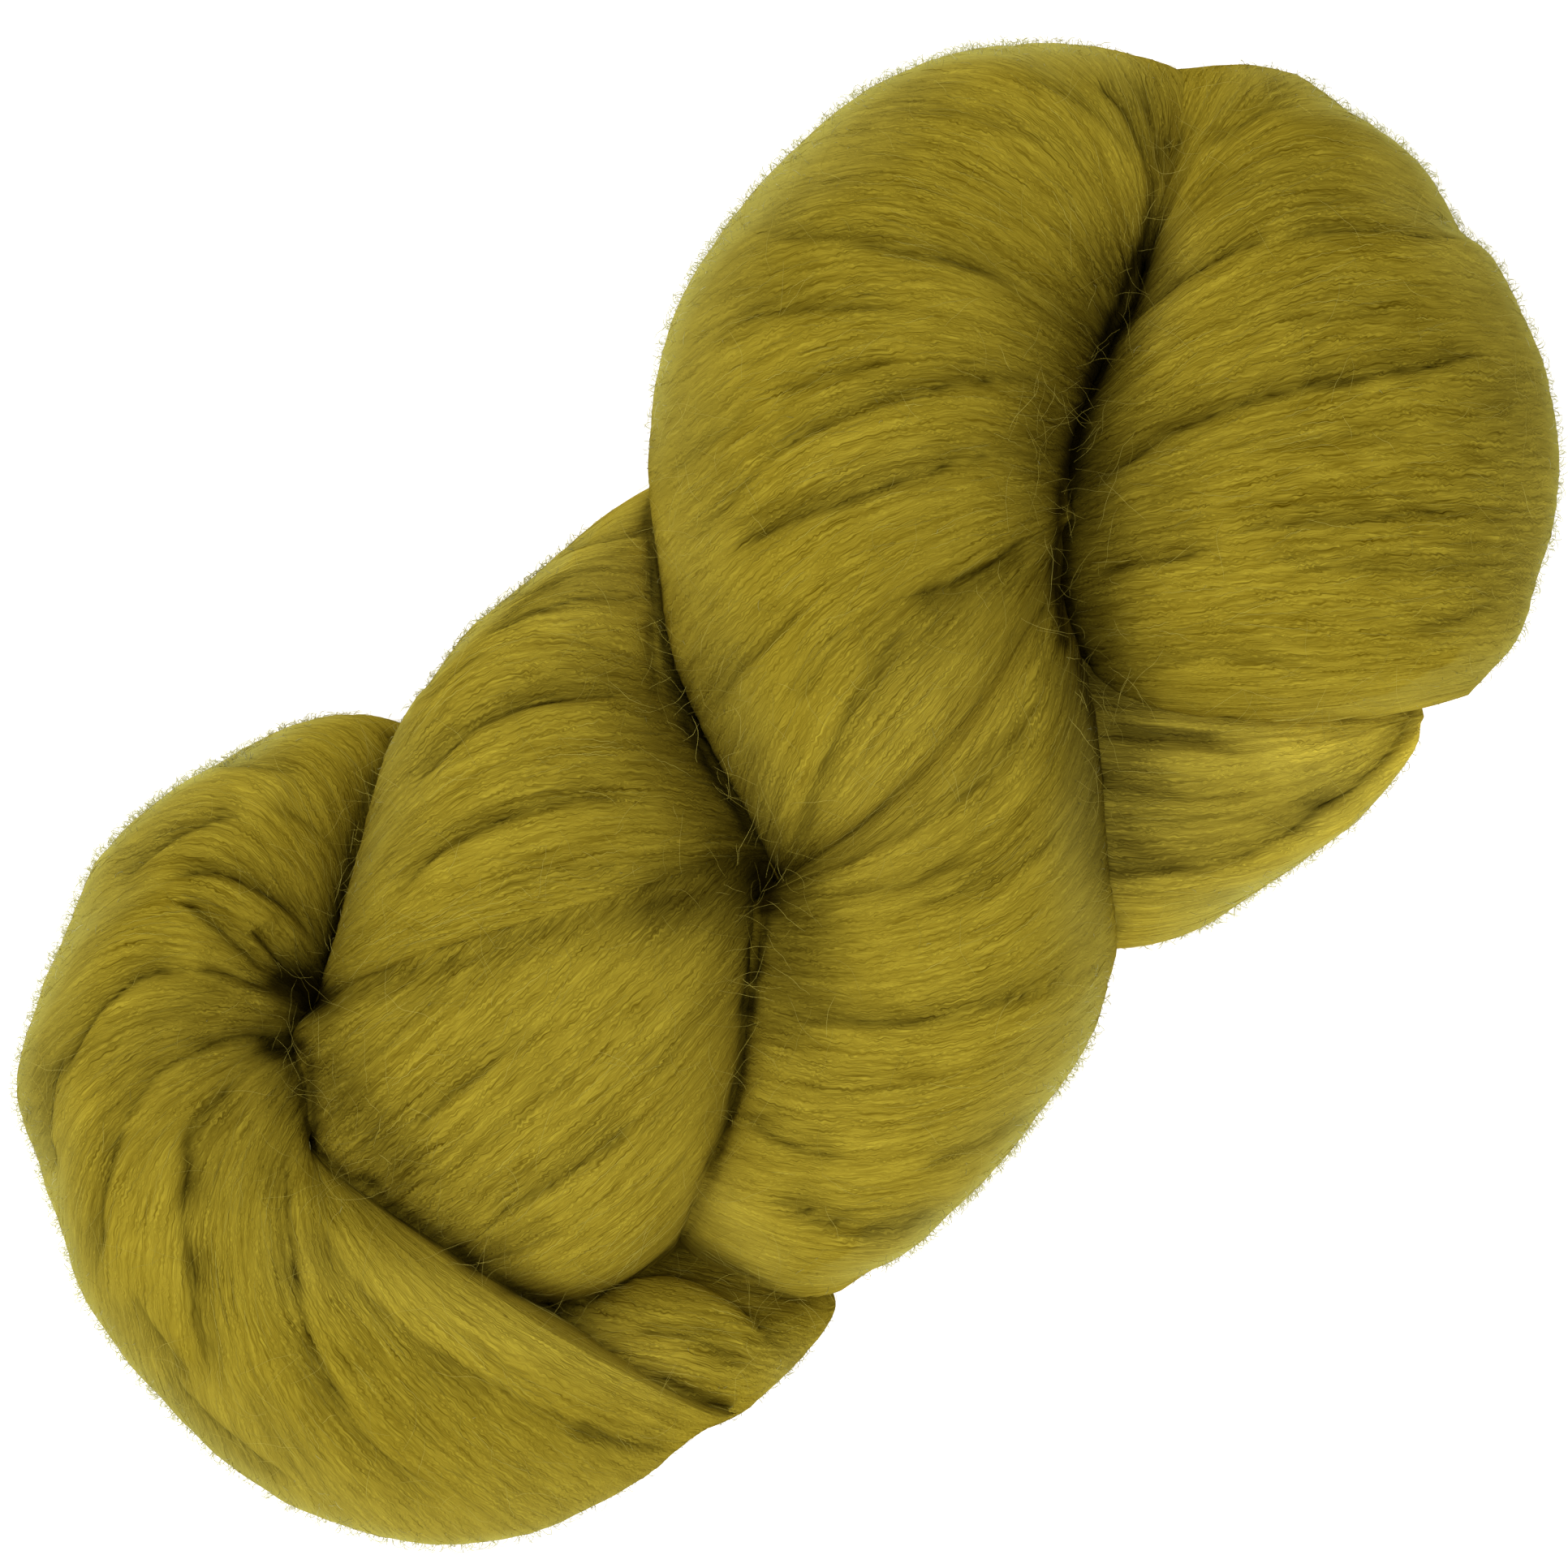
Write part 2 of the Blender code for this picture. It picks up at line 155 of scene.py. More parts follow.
def foldGrooves(folds, seen, upper, seed):
    # depth in mm and painted shade of the listed folds: each runs on a parabola through its three grid
    # points, with a sharp bottom exp(-distance / width), soft shoulders exp(-(distance / width)^2)
    # and a fuller side, the one on its right; both ends fade out
    depth, dark = np.zeros(upper.shape), np.zeros(upper.shape)
    perStep = layout["step"] / mm
    swayAt = seen / wool["swayLength"]
    swayX = wool["foldSway"] * softNoise(swayAt[..., 0], swayAt[..., 1], seed)
    swayY = wool["foldSway"] * softNoise(swayAt[..., 0] + 40, swayAt[..., 1], seed + 1)
    spots = seen + np.stack([swayX, swayY], axis=-1)
    reach = wool["foldReach"]
    t = np.linspace(0, 1, 33)
    for x1, y1, x2, y2, x3, y3, foldDepth in folds:
        weights = np.stack([(1 - t) * (1 - 2 * t), 4 * t * (1 - t), t * (2 * t - 1)])
        curve = np.array([[x1, y1], [x2, y2], [x3, y3]]).T @ weights
        near = upper & (spots[..., 0] > curve[0].min() - reach) & (spots[..., 0] < curve[0].max() + reach)
        near &= (spots[..., 1] > curve[1].min() - reach) & (spots[..., 1] < curve[1].max() + reach)
        if not near.any():
            continue
        offset = spots[near][:, :, None] - curve[None]
        squared = (offset ** 2).sum(axis=1)
        nearest = squared.argmin(axis=1)
        tangent = np.gradient(curve, axis=1)[:, nearest].T
        offset = offset[np.arange(len(nearest)), :, nearest]
        side = tangent[:, 0] * offset[:, 1] - tangent[:, 1] * offset[:, 0]
        side /= np.maximum(lengths(tangent), 1e-9)
        distance = np.sqrt(squared[np.arange(len(nearest)), nearest]) * perStep
        side = side * perStep
        ends = np.clip(np.minimum(t[nearest], 1 - t[nearest]) / wool["foldFade"], 0, 1)
        ends = ends * ends * (3 - 2 * ends)
        sharp = np.exp(-distance / wool["foldSharp"])
        soft = np.exp(-(distance / wool["foldSoft"]) ** 2)
        hollow = np.clip(0.5 - side / 3.0, 0, 1)
        lip = np.exp(-((side - wool["lipOffset"]) / wool["lipWidth"]) ** 2) * (distance < 10)
        profile = 0.50 * sharp + (0.08 + 0.52 * hollow) * soft - 0.30 * lip
        depth[near] += wool["foldGain"] * foldDepth * ends * profile
        # painted shade along the fold's bottom and in its hollow
        dark[near] += ends * min(foldDepth / 2.0, 1.2) * (0.66 * sharp + 0.30 * hollow * soft)
    return depth, dark


def woolRelief(lobe, surface, spacing):
    # depth of the gathers in mm: sharp-bottomed troughs along the zero lines of a noise drawn out
    # lengthwise, then finer locks and wisps, all following the rows
    seed = lobe["seed"]
    along = surface["alongAt"][:, :-1]
    row = np.repeat(surface["places"][:, None], along.shape[1], axis=1)
    row = row + wool["wander"] * softNoise(along / wool["wanderLength"], row * 0.8 + 9, seed)
    row = row + 0.03 * softNoise(along / 17, row * 3.1, seed + 1)
    fade = 0.55 + 0.6 * softNoise(along / 45 + 31, row * 0.9, seed + 2)
    line = softNoise(row * wool["strandsPerRow"] + 5, along / wool["strandLength"] + 2, seed + 3)
    depth = wool["strandDepth"] * np.clip(fade, 0, 1.2) * np.exp(-np.abs(line) / wool["strandWidth"])
    line = softNoise(row * wool["locksPerRow"], along / wool["lockLength"], seed + 4)
    depth += wool["lockDepth"] * np.exp(-np.abs(line) / 0.3)
    depth += wool["lockDepth"] * 0.6 * softNoise(row * wool["locksPerRow"] * 1.7, along / 34, seed + 5)
    depth += wool["wispDepth"] * softNoise(row * wool["wispsPerRow"], along / wool["wispLength"], seed + 6)
    gather = np.clip(spacing / wool["plainSpacing"], 0.15, 1.0)
    return depth * gather


def meshPiece(name, points, quads, triangles, corners, material, marks):
    # points and faces go into the mesh as whole arrays; corners holds a UV pair for every face
    # corner and marks a number for every point under each name
    mesh = bpy.data.meshes.new(name)
    loops = np.concatenate([quads.ravel(), triangles.ravel()]).astype(np.int32)
    sizes = np.concatenate([np.full(len(quads), 4), np.full(len(triangles), 3)]).astype(np.int32)
    starts = np.concatenate([[0], np.cumsum(sizes)[:-1]]).astype(np.int32)
    mesh.vertices.add(len(points))
    mesh.vertices.foreach_set("co", points.astype(np.float32).ravel())
    mesh.loops.add(len(loops))
    mesh.loops.foreach_set("vertex_index", loops)
    mesh.polygons.add(len(sizes))
    mesh.polygons.foreach_set("loop_start", starts)
    mesh.polygons.foreach_set("use_smooth", np.ones(len(sizes), dtype=bool))
    layer = mesh.uv_layers.new(name="fibreMap")
    layer.data.foreach_set("uv", corners.astype(np.float32).ravel())
    for mark, values in marks.items():
        layer = mesh.attributes.new(mark, "FLOAT", "POINT")
        layer.data.foreach_set("value", values.astype(np.float32).ravel())
    mesh.update(calc_edges=True)
    mesh.validate()
    mesh.materials.append(material)
    piece = bpy.data.objects.new(name, mesh)
    bpy.context.collection.objects.link(piece)
    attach(piece, "root")
    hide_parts("wool_hank")
    return piece


def coarseGrid(values, ringStep, columnStep):
    # every few rings and columns of a lobe, always with the last ring
    rings = np.unique(np.append(np.arange(0, values.shape[0], ringStep), values.shape[0] - 1))
    return rings, values[rings][:, ::columnStep]


def gridQuads(index, following):
    # the quads between the rings of a grid, from the numbers of its points and of those next round
    return np.stack([index[:-1], following[:-1], following[1:], index[1:]], axis=-1)


def coarseTree(surfaces):
    # one search tree over the given lobes, as coarse grids of quads
    points, quads, start = [], [], 0
    for surface in surfaces:
        rings, grid = coarseGrid(surface["plain"], 4, 2)
        index = np.arange(grid.shape[0] * grid.shape[1]).reshape(grid.shape[:2]) + start
        following = np.roll(index, -1, axis=1)
        quads.append(gridQuads(index, following).reshape(-1, 4))
        points.append(grid.reshape(-1, 3))
        start += index.size
    return BVHTree.FromPolygons(np.concatenate(points).tolist(), np.concatenate(quads).tolist())


def distancesTo(tree, surface):
    # distance in mm from a lobe's points to a tree, found on a coarse grid and blended between
    rings, grid = coarseGrid(surface["plain"], 5, 2)
    found = [tree.find_nearest(point)[3] for point in grid.reshape(-1, 3).tolist()]
    found = np.array(found).reshape(grid.shape[:2]) / mm
    ringAt = np.interp(np.arange(surface["plain"].shape[0]), rings, np.arange(len(rings)))
    columnAt = np.arange(surface["plain"].shape[1]) / 2
    ringAt, columnAt = np.broadcast_arrays(ringAt[:, None], columnAt)
    return sampleGrid(found[..., None], ringAt, columnAt)[..., 0]


def sampleGrid(grid, row, column):
    # bilinear reading of a lobe's grid at fractional rings, and columns that go round
    rowLow = np.clip(np.floor(row).astype(int), 0, grid.shape[0] - 2)
    columnLow = np.floor(column).astype(int)
    fr, fc = (row - rowLow)[..., None], (column - columnLow)[..., None]
    ca, cb = columnLow % grid.shape[1], (columnLow + 1) % grid.shape[1]
    low = grid[rowLow, ca] * (1 - fc) + grid[rowLow, cb] * fc
    high = grid[rowLow + 1, ca] * (1 - fc) + grid[rowLow + 1, cb] * fc
    return low * (1 - fr) + high * fr


def pitDepth(pits, seen):
    # depth in mm, painted shade and painted light from the pits: exp(-(distance / radius)^2) from a short
    # line; where the painted shade is below zero it is painted light instead
    depth, dark, paintedLight = np.zeros(seen.shape[:2]), np.zeros(seen.shape[:2]), np.ones(seen.shape[:2])
    for x1, y1, x2, y2, radius, pitSize, paintedShade in pits:
        line = np.array([x2 - x1, y2 - y1], dtype=float)
        t = np.clip(((seen - (x1, y1)) @ line) / max(line @ line, 1e-6), 0, 1)
        distance = lengths(seen - (x1, y1) - t[..., None] * line) * layout["step"] / mm
        bowl = np.exp(-(distance / radius) ** 2)
        depth += pitSize * bowl
        dark = 1 - (1 - dark) * (1 - max(paintedShade, 0) * bowl)
        paintedLight *= 1 - min(paintedShade, 0) * bowl
    return depth, dark, paintedLight


def makeLobe(lobe, surface, others, material, cadTree):
    plain, seen = surface["plain"], surface["seen"]
    acrossAt, alongAt, places = surface["acrossAt"], surface["alongAt"], surface["places"]
    ringCount, around = plain.shape[:2]
    normal = gridNormals(plain)
    upper = np.repeat(surface["lift"][None] > -0.02, ringCount, axis=0)
    outside = distancesTo(cadTree, surface) < wool["hidden"]
    spacing = lengths(np.gradient(plain, axis=0)) / mm / np.gradient(places)[:, None]

    relief = woolRelief(lobe, surface, spacing)
    foldDepth, dark = foldGrooves(lobe["folds"], seen, upper, lobe["seed"] + 20)
    # folds and gathers die away towards the open rims, so that the outline stays soft
    openSide = np.where(surface["across"] < 0, lobe["open"][0], lobe["open"][1])
    rimFade = 1 - wool["rimCalm"] * openSide * (1 - np.clip(surface["lift"] / 0.4, 0, 1) ** 0.8)
    belowFade = np.clip(np.minimum(np.arange(around), around - np.arange(around)) / around / 0.05, 0, 1)
    endFade = np.clip(np.minimum(places, surface["last"] - places) / 0.25, 0, 1)[:, None]
    relief = (relief + foldDepth) * rimFade * belowFade * endFade
    dark = dark * rimFade

    seam = distancesTo(others, surface)
    relief += wool["seamDepth"] * np.exp(-seam / wool["seamWidth"])
    # painted shade along the line where two lobes meet and on the wool beside it
    dark += wool["seamDark"] * np.exp(-seam / wool["seamDarkWidth"])
    dark += wool["seamSoftShade"] * np.exp(-seam / wool["seamSoftShadeWidth"])
    points = plain - normal * (relief - wool["cover"])[..., None] * mm
    pit, pitDark, paintedLight = pitDepth(pits, seen)
    topSide = np.clip(surface["lift"] / 0.25 + 0.6, 0, 1)
    points[..., 2] -= pit * topSide * mm
    # painted shade on the walls down in a crease
    wall = (1 - np.clip(surface["lift"] / 0.35, 0, 1)) * np.exp(-seam / wool["wallDarkWidth"])
    wall = wall * (1 - openSide * 0.5)
    dark = 1 - (1 - np.clip(dark, 0, 1)) * (1 - pitDark * topSide) * (1 - wool["wallDark"] * wall)
    points[..., 2] = np.maximum(points[..., 2], wool["skin"] * mm)

    # painted rim light: paler where the wool turns over to an open rim
    steep = np.abs(normal[..., 2])
    rimLight = 0.55 * np.clip(1 - steep * 1.15, 0, 1) ** 1.5 + 0.7 * np.clip(1 - steep / 0.35, 0, 1)
    edge = np.clip(rimLight, 0, 1) * openSide * outside * np.clip((seam - 5) / 20, 0, 1)
    # how much wider than at the crest the rows are, as a power of two, for the fibres' texture
    gather = np.log2(np.clip(spacing / spacing[:, around // 2:around // 2 + 1], 0.1, 4))
    paintedLightShades = np.interp(places, np.linspace(0, surface["last"], len(lobe["paintedLightShades"])), lobe["paintedLightShades"])
    # painted light leans to the painted rim light's colour, and painted shade only dims the wool
    paintedLightShades = paintedLightShades[:, None] * paintedLight
    rimLight = np.clip(edge + np.clip(paintedLightShades - 1, 0, 1) * wool["paintedLightLean"], 0, 1)
    paintedLightShades = np.where(paintedLightShades > 1, 1 + wool["paintedLightGain"] * (paintedLightShades - 1), paintedLightShades)
    marks = {"shade": np.clip(dark, 0, 1), "rimLight": rimLight, "gather": gather, "paintedLightShade": paintedLightShades}

    index = np.arange(ringCount * around).reshape(ringCount, around)
    following = np.roll(index, -1, axis=1)
    quads = gridQuads(index, following)
    column = np.arange(around)
    acrossQuad = np.stack([acrossAt[:-1], acrossAt[:-1], acrossAt[1:], acrossAt[1:]], axis=-1)
    acrossQuad = np.repeat(acrossQuad[:, None], around, axis=1)
    alongQuad = np.stack([alongAt[:-1][:, column], alongAt[:-1][:, column + 1],
                          alongAt[1:][:, column + 1], alongAt[1:][:, column]], axis=-1)
    quads = quads.reshape(-1, 4)
    corners = np.stack([acrossQuad.reshape(-1), alongQuad.reshape(-1)], axis=-1)

    # each end is closed by narrow triangles, two upper spaces to one lower space
    sixth = around // 6
    m = np.arange(2 * sixth)
    lower, lowerNext = (sixth - m) % around, (sixth - m - 1) % around
    first, second, third = sixth + 2 * m, sixth + 2 * m + 1, sixth + 2 * m + 2
    cap = np.concatenate([np.stack([second, first, lower], axis=-1)[1:],
                          np.stack([second, lower, lowerNext], axis=-1),
                          np.stack([third, second, lowerNext], axis=-1)[:-1]])
    tips = np.concatenate([cap, cap[:, ::-1] + (ringCount - 1) * around])
    corners = np.concatenate([corners, np.zeros((tips.size, 2))]) / 100 + lobe["seed"] * 0.37
    # the rows of some lobes run the other way round, which would turn their faces inwards
    crestStep = np.cross(plain[ringCount // 2, around // 2 + 1] - plain[ringCount // 2, around // 2],
                         plain[ringCount // 2 + 1, around // 2] - plain[ringCount // 2, around // 2])
    if crestStep[2] < 0:
        flipped = corners[:quads.size].reshape(-1, 4, 2)[:, ::-1].reshape(-1, 2)
        corners = np.concatenate([flipped, corners[quads.size:]])
        quads, tips = quads[:, ::-1], tips[:, ::-1]
    meshPiece(lobe["name"], points.reshape(-1, 3), quads, tips, corners, material, marks)
    print("lobe", lobe["name"], "triangles", len(quads) * 2 + len(tips))
    return {"points": points, "normal": gridNormals(points), "outside": outside,
            "shade": marks["shade"], "paintedLightShade": marks["paintedLightShade"], "rimLight": edge}


# Materials

woolLook = {
    "roughness": 0.9, "sheen": 0.005, "sheenRoughness": 0.45, "sheenTint": (0.90, 0.86, 0.34, 1),
    "crimps": 242.0,        # radians of the crimp's wave in 100 mm of fibre
    "crimpSize": 0.0028, "sway": 0.030,         # how far it swings sideways, in hundreds of millimetres
    # noises: cells to a millimetre across the fibres and along them, detail, seed
    "phaseNoise": (0.40, 0.10, 1.0, 1), "crimpNoise": (0.25, 0.15, 1.0, 2), "swayNoise": (0.10, 0.05, 2.0, 3),
    "fineNoise": (3.1, 0.10, 1.5, 0), "leftNoise": (2.5, 0.09, 1.0, 2), "rightNoise": (2.3, 0.08, 1.0, 4),
    "lockNoise": (0.85, 0.030, 2.5, 7), "broadNoise": (0.14, 0.020, 2.0, 11),
    # weights of those noises in the colour, and then in the bump
    "fineColour": 0.36, "crossColour": 0.27, "lockColour": 0.25, "broadColour": 0.12, "colourMiddle": 0.515,
    "fineBump": 0.7, "crossBump": 0.5, "lockBump": 0.8,
    # colour and share of the painted rim light
    "rimLightColour": (0.50, 0.46, 0.105), "rimLightShare": 0.75,
    "shadeColour": (0.010, 0.005, 0.0002), "shadeShare": 0.95, "shadeMost": 0.97, "shadeUneven": 1.6,
}


def woolMaterial(name, dark, light, bumpDepth, streakGain, isFibre):
    material = bpy.data.materials.new(name)
    material.use_nodes = True
    nodes, links = material.node_tree.nodes, material.node_tree.links
    shader = nodes["Principled BSDF"]
    shader.inputs["Roughness"].default_value = woolLook["roughness"]
    shader.inputs["Specular IOR Level"].default_value = 0.0
    shader.inputs["Sheen Weight"].default_value = woolLook["sheen"]
    shader.inputs["Sheen Roughness"].default_value = woolLook["sheenRoughness"]
    shader.inputs["Sheen Tint"].default_value = woolLook["sheenTint"]
    uv = nodes.new("ShaderNodeUVMap")
    uv.uv_map = "fibreMap"

    def mathNode(operation, *items):
        node = nodes.new("ShaderNodeMath")
        node.operation = operation
        for socket, item in zip(node.inputs, items):
            if isinstance(item, (int, float)):
                socket.default_value = item
            else:
                links.new(item, socket)
        return node.outputs[0]

    def drawnNoise(which, vector):
        # noise with `across` cells to a millimetre over the fibres and `along` with them
        across, along, detail, seed = woolLook[which]
        mapping = nodes.new("ShaderNodeMapping")
        mapping.inputs["Scale"].default_value = (across * 100, along * 100, 1)
        mapping.inputs["Location"].default_value = (seed * 1.7, seed * 2.3, seed)
        noise = nodes.new("ShaderNodeTexNoise")
        noise.inputs["Scale"].default_value = 1.0
        noise.inputs["Detail"].default_value = detail
        noise.inputs["Roughness"].default_value = 0.6
        links.new(vector, mapping.inputs["Vector"])
        links.new(mapping.outputs["Vector"], noise.inputs["Vector"])
        return noise.outputs["Fac"]

    def attribute(attributeName):
        node = nodes.new("ShaderNodeAttribute")
        node.attribute_name = attributeName
        return node.outputs["Fac"]

    def fibreVectors(lean, offset, swing, scale):
        # crimp: along the fibre it swings sideways as a sine, over a slow sway and a slight lean
        across = mathNode("MULTIPLY_ADD", parts.outputs[0], scale, swing)
        across = mathNode("MULTIPLY_ADD", parts.outputs[1], lean, mathNode("ADD", across, offset))
        joined = nodes.new("ShaderNodeCombineXYZ")
        links.new(across, joined.inputs[0])
        links.new(parts.outputs[1], joined.inputs[1])
        return joined.outputs[0]

    if isFibre:
        factor = attribute("tint")
    else:
        parts = nodes.new("ShaderNodeSeparateXYZ")
        links.new(uv.outputs["UV"], parts.inputs[0])
        phase = mathNode("MULTIPLY", drawnNoise("phaseNoise", uv.outputs["UV"]), 30.0)
        turns = mathNode("MULTIPLY", parts.outputs[1], woolLook["crimps"])
        wave = mathNode("SINE", mathNode("ADD", turns, phase))
        size = mathNode("MULTIPLY", drawnNoise("crimpNoise", uv.outputs["UV"]), woolLook["crimpSize"])
        slow = mathNode("MULTIPLY", drawnNoise("swayNoise", uv.outputs["UV"]), woolLook["sway"])
        swing = mathNode("MULTIPLY_ADD", wave, size, slow)
        # where the rows draw together the texture would crowd: two scales, one the double of the
        # other, are blended so that the fibres stay about as wide
        gather = attribute("gather")
        octave = mathNode("FLOOR", gather)
        between = mathNode("SUBTRACT", gather, octave)
        coarseScale = mathNode("POWER", 2.0, octave)
        reliefs, blends = [], []
        for scale in (coarseScale, mathNode("MULTIPLY", coarseScale, 2.0)):
            straight = fibreVectors(0.0, 0.0, swing, scale)
            left, right = fibreVectors(0.06, 0.13, swing, scale), fibreVectors(-0.07, 0.29, swing, scale)
            fine = drawnNoise("fineNoise", straight)
            crossing = mathNode("MAXIMUM", drawnNoise("leftNoise", left), drawnNoise("rightNoise", right))
            lock = drawnNoise("lockNoise", straight)
            for sums, use in ((blends, "Colour"), (reliefs, "Bump")):
                fineShare = mathNode("MULTIPLY", fine, woolLook["fine" + use])
                both = mathNode("MULTIPLY_ADD", crossing, woolLook["cross" + use], fineShare)
                sums.append(mathNode("MULTIPLY_ADD", lock, woolLook["lock" + use], both))

        def crossFade(pair):
            return mathNode("MULTIPLY_ADD", mathNode("SUBTRACT", pair[1], pair[0]), between, pair[0])

        broad = drawnNoise("broadNoise", uv.outputs["UV"])
        blend = mathNode("MULTIPLY_ADD", broad, woolLook["broadColour"], crossFade(blends))
        factor = mathNode("MULTIPLY_ADD", blend, streakGain, 0.5 - woolLook["colourMiddle"] * streakGain)
        bump = nodes.new("ShaderNodeBump")
        bump.inputs["Strength"].default_value = 1.0
        bump.inputs["Distance"].default_value = bumpDepth * mm
        links.new(crossFade(reliefs), bump.inputs["Height"])
        links.new(bump.outputs["Normal"], shader.inputs["Normal"])
    ramp = nodes.new("ShaderNodeValToRGB")
    ramp.color_ramp.elements[0].color = (*dark, 1)
    ramp.color_ramp.elements[1].color = (*light, 1)
    links.new(factor, ramp.inputs["Fac"])
    # the colour is scaled by the painted light and shade factor of the wool
    scaled = nodes.new("ShaderNodeVectorMath")
    scaled.operation = "SCALE"
    links.new(ramp.outputs["Color"], scaled.inputs["Vector"])
    links.new(attribute("paintedLightShade"), scaled.inputs["Scale"])

    def mixed(colour, amount, other):
        node = nodes.new("ShaderNodeMix")
        node.data_type = "RGBA"
        links.new(amount, node.inputs[0])
        links.new(colour, node.inputs[6])
        node.inputs[7].default_value = (*other, 1)
        return node.outputs[2]

    # painted rim light mixed into the colour
    rimLightAmount = mathNode("MULTIPLY", attribute("rimLight"), woolLook["rimLightShare"])
    colour = mixed(scaled.outputs["Vector"], rimLightAmount, woolLook["rimLightColour"])
    # the painted shade of folds, seams, walls and pits eats into the darker fibres first, by
    # shade + (0.5 - fibre) * shade * (1 - shade) * unevenness
    shade = attribute("shade")
    edge = mathNode("MULTIPLY", shade, mathNode("SUBTRACT", 1.0, shade))
    edge = mathNode("MULTIPLY", edge, woolLook["shadeUneven"])
    uneven = mathNode("MULTIPLY", mathNode("SUBTRACT", 0.5, factor), edge)
    amount = mathNode("MULTIPLY", mathNode("ADD", shade, uneven), woolLook["shadeShare"])
    amount = mathNode("MINIMUM", mathNode("MAXIMUM", amount, 0.0), woolLook["shadeMost"])
    colour = mixed(colour, amount, woolLook["shadeColour"])
    links.new(colour, shader.inputs["Base Color"])
    return material


woolFinish = woolMaterial("combedWool", (0.115, 0.072, 0.0005), (0.446, 0.344, 0.030), 0.5, 3.4, False)
fibreFinish = woolMaterial("looseFibre", (0.17, 0.122, 0.005), (0.50, 0.42, 0.075), 0.0, 1.0, True)

# Lobes: each row is start x, y, crest x, y, finish x, y on the grid, then its under, mid and top
# heights in millimetres; each fold is three points x, y as the camera sees them and its depth;
# open marks the sides, start and finish, that are a free rim of the hank, ends are the rows over
# which the first and last ends round off, and full the fullness of either side

# the tones of a lobe are factors over its rows: above one painted light, below one painted shade
frontUpper = {
    "name": "lobeFrontUpper", "laps": (0.00, 0.10), "ringsPerRow": 36, "around": 96, "seed": 1,
    "ends": (1.35, 1.35), "full": (1, 0.9),
    "rows": [
        (1500, 92, 1512, 168, 1472, 252, 12, 44, 79),
        (1340, 58, 1394, 144, 1418, 296, 0, 44, 88),
        (1200, 64, 1338, 134, 1406, 318, -4, 45, 92),
        (1070, 112, 1275, 130, 1396, 338, -5, 46, 96),
        (943, 220, 1180, 212, 1364, 384, -5, 48, 102),
        (850, 350, 1090, 274, 1342, 410, 2, 52, 107),
        (812, 460, 1070, 352, 1330, 440, 10, 58, 110),
        (800, 575, 1065, 434, 1316, 478, 18, 62, 112),
        (806, 690, 1060, 522, 1300, 532, 26, 66, 113),
        (822, 790, 1050, 610, 1292, 588, 32, 68, 113),
        (865, 905, 1042, 712, 1290, 622, 36, 69, 113),
        (920, 1010, 1043, 793, 1293, 646, 38, 70, 112),
        (952, 1080, 1096, 872, 1293, 664, 40, 70, 112),
        (958, 1104, 1226, 985, 1308, 684, 44, 70, 106),
    ],
    "open": (1, 0), "paintedLightShades": (1.22, 1.10, 0.96, 0.98, 1.0, 1.02),
    "folds": [
        (905, 288, 1090, 303, 1290, 362, 1.5), (890, 398, 1000, 380, 1130, 384, 1.3),
        (940, 492, 1030, 460, 1120, 444, 1.1), (820, 600, 875, 540, 935, 500, 1.0),
        (925, 585, 1070, 503, 1330, 456, 2.3), (890, 684, 1035, 618, 1290, 545, 2.6),
        (850, 668, 895, 622, 935, 575, 0.8), (1290, 652, 1200, 703, 1110, 742, 2.4),
        (870, 885, 925, 810, 1005, 738, 1.2), (975, 875, 1012, 820, 1050, 765, 1.0),
        (1130, 750, 1020, 925, 975, 1075, 2.2), (1345, 95, 1395, 150, 1424, 235, 1.8),
        (1395, 88, 1425, 150, 1440, 240, 1.2), (1085, 137, 1200, 143, 1350, 205, 0.8),
        (1240, 92, 1340, 130, 1400, 200, 0.7), (965, 1088, 1180, 985, 1285, 845, 1.4),
    ],
}
frontLower = {
    "name": "lobeFrontLower", "laps": (0.08, 0.00), "ringsPerRow": 36, "around": 96, "seed": 2,
    "ends": (1.35, 1.35), "full": (0.62, 1),
    "rows": [
        (954, 1080, 1120, 850, 1284, 670, 40, 66, 90),
        (952, 1094, 1180, 930, 1298, 690, 38, 66, 106),
        (946, 1112, 1228, 1000, 1320, 775, 36, 66, 109),
        (942, 1152, 1212, 1104, 1354, 900, 32, 65, 111),
        (934, 1246, 1185, 1256, 1374, 1125, 22, 60, 110),
        (926, 1320, 1155, 1332, 1362, 1215, 12, 57, 107),
        (898, 1390, 1110, 1408, 1322, 1312, 4, 54, 103),
        (850, 1462, 1055, 1516, 1190, 1472, -5, 50, 93),
        (820, 1526, 930, 1598, 1036, 1590, 0, 47, 80),
    ],
    "open": (0, 1), "paintedLightShades": (1.0, 1.05, 1.12, 1.12),
    "folds": [
        (965, 1088, 1180, 985, 1285, 845, 1.6), (1010, 1103, 1110, 1088, 1200, 1046, 1.0),
        (1090, 1118, 1240, 1078, 1330, 1000, 0.9), (955, 1238, 1120, 1258, 1365, 1192, 2.1),
        (905, 1365, 965, 1408, 1050, 1432, 1.6), (930, 1462, 1060, 1522, 1190, 1478, 2.8),
        (950, 1328, 1070, 1345, 1200, 1335, 0.7), (1130, 1440, 1210, 1410, 1290, 1360, 1.0),
    ],
}
